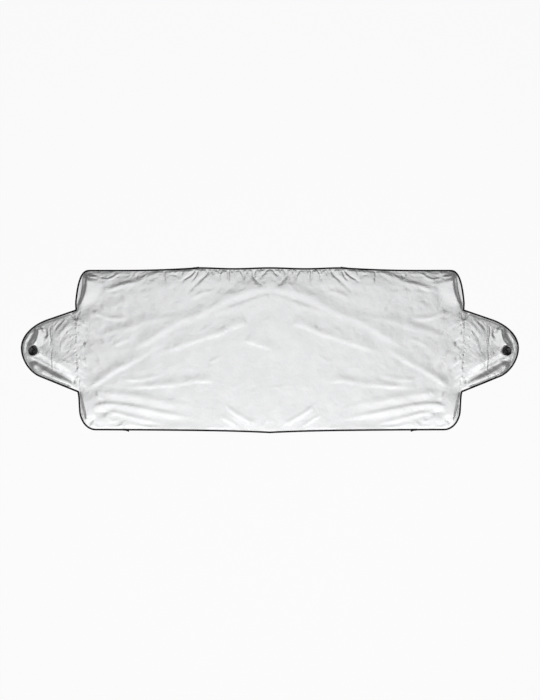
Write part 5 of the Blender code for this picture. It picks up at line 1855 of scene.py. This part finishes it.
@dataclass
class SuctionCup:
    """A moulded cup on its leaning axis, open side up.

    Attributes:
        side: which end of the shade.
        rim_lip: width of the rim's flat lip.
        depth: height from the foot to the rim.
        bowl_depth: how deep the bowl is.
        boss_radius: radius of the boss in the bowl's middle; boss_height is its height.
        foot_radius: radius of the foot on the eyelet.
        neck_radius: radius of the neck through the eyelet.
        head_radius: radius of the head behind the flap; head_height is its height.
        flange: thickness of the eyelet's and the washer's flange.
        steps: corners round the cup.
        wall: the outer wall, in shares of the rim's radius and the depth, rim first.
    """

    sizes: ShadeSizes
    side: Side
    finishes: Finishes
    rim_radius: float = 18.3 * MM
    rim_lip: float = 1.2 * MM
    depth: float = 10.3 * MM
    bowl_depth: float = 6.8 * MM
    boss_radius: float = 5.6 * MM
    boss_height: float = 1.4 * MM
    foot_radius: float = 7.5 * MM
    neck_radius: float = 3.7 * MM
    head_radius: float = 6 * MM
    head_height: float = 4.5 * MM
    flange: float = 0.6 * MM
    steps: int = 72
    wall: tuple[tuple[float, float], ...] = ((0.93, 0.78), (0.80, 0.58), (0.58, 0.36))

    @property
    def foot(self) -> float:
        """Level of the cup's foot over the flap's underside, along the axis."""
        return self.sizes.cloth + 2 * self.sizes.clearance + self.flange

    @property
    def head_bottom(self) -> float:
        """Level of the head's underside, along the axis."""
        return self.sizes.level(Layer.FACING) - 3 * self.sizes.clearance - 2 * self.flange - self.head_height

    def seat(self) -> float:
        """Where the leaning head stands on the floor.

        Returns:
            Height of the flap at the eyelet.
        """
        lean = self.sizes.cup_lean
        corners = [
            (0.5 * self.head_radius, self.head_bottom),
            (self.head_radius, self.head_bottom + 0.2 * self.head_height),
        ]
        return max(r * math.sin(lean) - z * math.cos(lean) for r, z in corners)

    def profile(self) -> list[tuple[float, float]]:
        """The cup's section.

        Returns:
            Corners as (radius, height), from the bowl's middle to the head's.
        """
        foot, rim = self.foot, self.foot + self.depth
        bowl = rim - self.bowl_depth
        lip = self.rim_radius - self.rim_lip
        boss, low = self.boss_radius, bowl + self.boss_height
        rounded = [(0.0, low), (0.75 * boss, low), (boss, bowl + 0.4 * self.boss_height)]
        for i in range(3, 9):
            share = i / 8
            rounded.append((share * lip, bowl + self.bowl_depth * share**2.4))
        rounded += [
            (self.rim_radius - 0.25 * MM, rim), (self.rim_radius, rim - 0.3 * MM),
            (self.rim_radius, rim - 0.09 * self.depth),
            *((r * self.rim_radius, foot + z * self.depth) for r, z in self.wall),
            (self.foot_radius + 1 * MM, foot + 0.22 * self.depth),
            (self.foot_radius, foot + 0.12 * self.depth),
            (self.foot_radius, foot), (self.neck_radius, foot),
        ]
        head_top = self.head_bottom + self.head_height
        rounded += [
            (self.neck_radius, head_top), (0.92 * self.head_radius, head_top),
            (self.head_radius, head_top - 0.2 * self.head_height),
            (self.head_radius, self.head_bottom + 0.2 * self.head_height),
            (0.5 * self.head_radius, self.head_bottom), (0.0, self.head_bottom),
        ]
        return rounded

    def build(self) -> bpy.types.Object:
        """Makes the cup.

        Returns:
            The piece.
        """
        profile = self.profile()
        points, rings = [], []
        lean = self.sizes.cup_lean * self.side.value
        centre = (self.side.value * self.sizes.cup_x, self.sizes.cup_y, self.seat())
        for radius, height in profile:
            ring = []
            for k in range(self.steps if radius > 0 else 1):
                turn = 2 * math.pi * k / self.steps
                u, v = radius * math.cos(turn), radius * math.sin(turn)
                x = u * math.cos(lean) + height * math.sin(lean)
                z = height * math.cos(lean) - u * math.sin(lean)
                ring.append(len(points))
                points.append((centre[0] + x, centre[1] + v, centre[2] + z))
            rings.append(ring)
        faces = []
        for upper, lower in zip(rings, rings[1:]):
            for k in range(self.steps):
                a, b = upper[k % len(upper)], upper[(k + 1) % len(upper)]
                c, d = lower[(k + 1) % len(lower)], lower[k % len(lower)]
                faces.append(tuple(dict.fromkeys((a, d, c, b))))
        name = f"{self.side.word}_suction_cup"
        rubber = self.finishes.rubber
        return add_piece(f"{name}_moulding", np.array(points), faces, rubber, [name])


@dataclass(frozen=True)
class Softbox:
    """A rectangular lamp.

    Attributes:
        name: the lamp's name.
        place: where it stands.
        aim: the point that it faces.
        size: its width and height.
        watts: its power.
    """

    name: str
    place: tuple[float, float, float]
    aim: tuple[float, float, float]
    size: tuple[float, float]
    watts: float

    def build(self) -> None:
        """Sets up the lamp."""
        data = bpy.data.lights.new(self.name, "AREA")
        data.shape = "RECTANGLE"
        data.size, data.size_y = self.size
        data.energy = self.watts
        lamp = bpy.data.objects.new(self.name, data)
        lamp.location = self.place
        lamp.rotation_euler = (Vector(self.aim) - Vector(self.place)).to_track_quat("-Z", "Y").to_euler()
        bpy.context.scene.collection.objects.link(lamp)


@dataclass
class Studio:
    """The floor, the lights and the camera.

    Attributes:
        lamps: the softboxes.
        surround: strength of the grey surround.
        whiteness: share of plain white that the floor shows, beside its shaded paper.
        floor_radius: how far the floor reaches.
        wall_height: height of the low wall round it.
        wall_sides: flat sides of the wall.
        frame_px: width and height of the photograph.
        metres_per_px: its scale at the shade.
        centre_px: the pixel where the shade's middle lies.
        camera_height: how high the camera stands.
        sensor: width of the camera's sensor, in millimetres.
        sight: how far the camera sees.
    """

    lamps: tuple[Softbox, ...] = (
        Softbox("overhead", (0, -0.25, 2.6), (0, -0.25, 0), (2.9, 1.3), 13),
        Softbox("top_softbox", (0, 0.75, 2.6), (0, 0.75, 0), (2.4, 0.7), 6.4),
        Softbox("left_softbox", (-1.1, -1.3, 2.05), (-0.7, -0.05, 0), (2.1, 1.2), 14.8),
        Softbox("right_softbox", (1.1, -1.3, 2.05), (0.7, -0.05, 0), (2.1, 1.2), 14.8),
    )
    surround: float = 0.09
    whiteness: float = 0.93
    floor_radius: float = 12.0
    wall_height: float = 2.2
    wall_sides: int = 48
    frame_px: tuple[int, int] = (540, 700)
    metres_per_px: float = 3.849 * MM
    centre_px: tuple[float, float] = (269.9, 350.2)
    camera_height: float = 6.0
    sensor: float = 36.0
    sight: float = 50.0

    def floor(self) -> None:
        """A white floor, with a low wall far round it, that keeps a share of the object's shadow."""
        reach, sides = self.floor_radius, self.wall_sides
        section = [(0.96 * reach, -0.5 * MM), (0.99 * reach, 0.02 * reach), (reach, 0.06 * reach)]
        section.append((reach, self.wall_height))
        turns = [2 * math.pi * k / sides for k in range(sides)]
        corners = [(r * math.cos(turn), r * math.sin(turn), z) for r, z in section for turn in turns]
        faces = [tuple(range(sides))]
        for low in range(0, sides * (len(section) - 1), sides):
            for k in range(sides):
                after, high = (k + 1) % sides, low + sides
                faces.append((low + k, high + k, high + after, low + after))
        mesh = bpy.data.meshes.new("floor")
        mesh.from_pydata(corners, [], faces)
        mesh.materials.append(self.paper())
        floor = bpy.data.objects.new("floor", mesh)
        bpy.context.scene.collection.objects.link(floor)

    def paper(self) -> bpy.types.Material:
        """The floor's paper: mostly plain white to the camera and in reflections.

        Returns:
            The material.
        """
        material, tree, shader = new_material("floor_paper")
        shader.inputs["Base Color"].default_value = (0.8, 0.8, 0.8, 1)
        shader.inputs["Roughness"].default_value = 0.9
        glow = add_node(tree, "ShaderNodeEmission", {"Strength": 1.0})
        path = add_node(tree, "ShaderNodeLightPath")
        seen = add_node(tree, "ShaderNodeMath", operation="MAXIMUM")
        rays = add_node(tree, "ShaderNodeMath", operation="MAXIMUM")
        share = add_node(tree, "ShaderNodeMath", {1: self.whiteness}, operation="MULTIPLY")
        mix = add_node(tree, "ShaderNodeMixShader")
        wire(
            tree,
            (path, "Is Camera Ray", seen, 0), (path, "Is Glossy Ray", seen, 1),
            (seen, 0, rays, 0), (path, "Is Transmission Ray", rays, 1),
            (rays, 0, share, 0), (share, 0, mix, 0), (shader, 0, mix, 1), (glow, 0, mix, 2),
            (mix, 0, tree.nodes["Material Output"], "Surface"),
        )
        return material

    def world(self) -> None:
        """A plain grey surround."""
        world = bpy.data.worlds.new("studio")
        world.use_nodes = True
        background = world.node_tree.nodes["Background"]
        background.inputs["Color"].default_value = (1, 1, 1, 1)
        background.inputs["Strength"].default_value = self.surround
        bpy.context.scene.world = world

    def camera(self) -> None:
        """The camera, straight above the shade, as in the photograph."""
        data = bpy.data.cameras.new("camera")
        data.sensor_fit = "HORIZONTAL"
        data.sensor_width = self.sensor
        data.lens = self.sensor * self.camera_height / (self.frame_px[0] * self.metres_per_px)
        data.clip_end = self.sight
        camera = bpy.data.objects.new("camera", data)
        x = (self.frame_px[0] / 2 - self.centre_px[0]) * self.metres_per_px
        y = (self.centre_px[1] - self.frame_px[1] / 2) * self.metres_per_px
        camera.location = (x, y, self.camera_height)
        bpy.context.scene.collection.objects.link(camera)
        bpy.context.scene.camera = camera

    def build(self) -> None:
        """Sets up the whole studio."""
        self.floor()
        self.world()
        for lamp in self.lamps:
            lamp.build()
        self.camera()
        bpy.context.scene.view_settings.view_transform = "Standard"


def main() -> None:
    """Builds the shade's looks in order, and the studio."""
    logging.basicConfig(level=logging.INFO, format="%(name)s %(message)s")
    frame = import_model()
    sizes = ShadeSizes.from_frame()
    outline = Outline(sizes)
    finishes = Finishes(ShaderKit.build())
    cups = [SuctionCup(sizes, side, finishes) for side in Side]
    lie = ClothLie(sizes, outline, cups[0].seat())
    Studio().build()
    sheets = ClothSheets(sizes, outline, lie, finishes)
    sheets.panel()
    for side in Side:
        sheets.flap(side)
        sheets.facing(side)
    tape = EdgeTape(sizes, outline, lie, finishes)
    tape.build()
    Stitching(sizes, outline, lie, finishes, sheets).build(tape)
    for cup in cups:
        cup.build()
        for part in ("eyelet", "eyelet_washer"):
            frame["nodes"][f"{cup.side.word}_{part}"].material_slots[0].material = finishes.metal


if __name__ == "__main__":
    main()
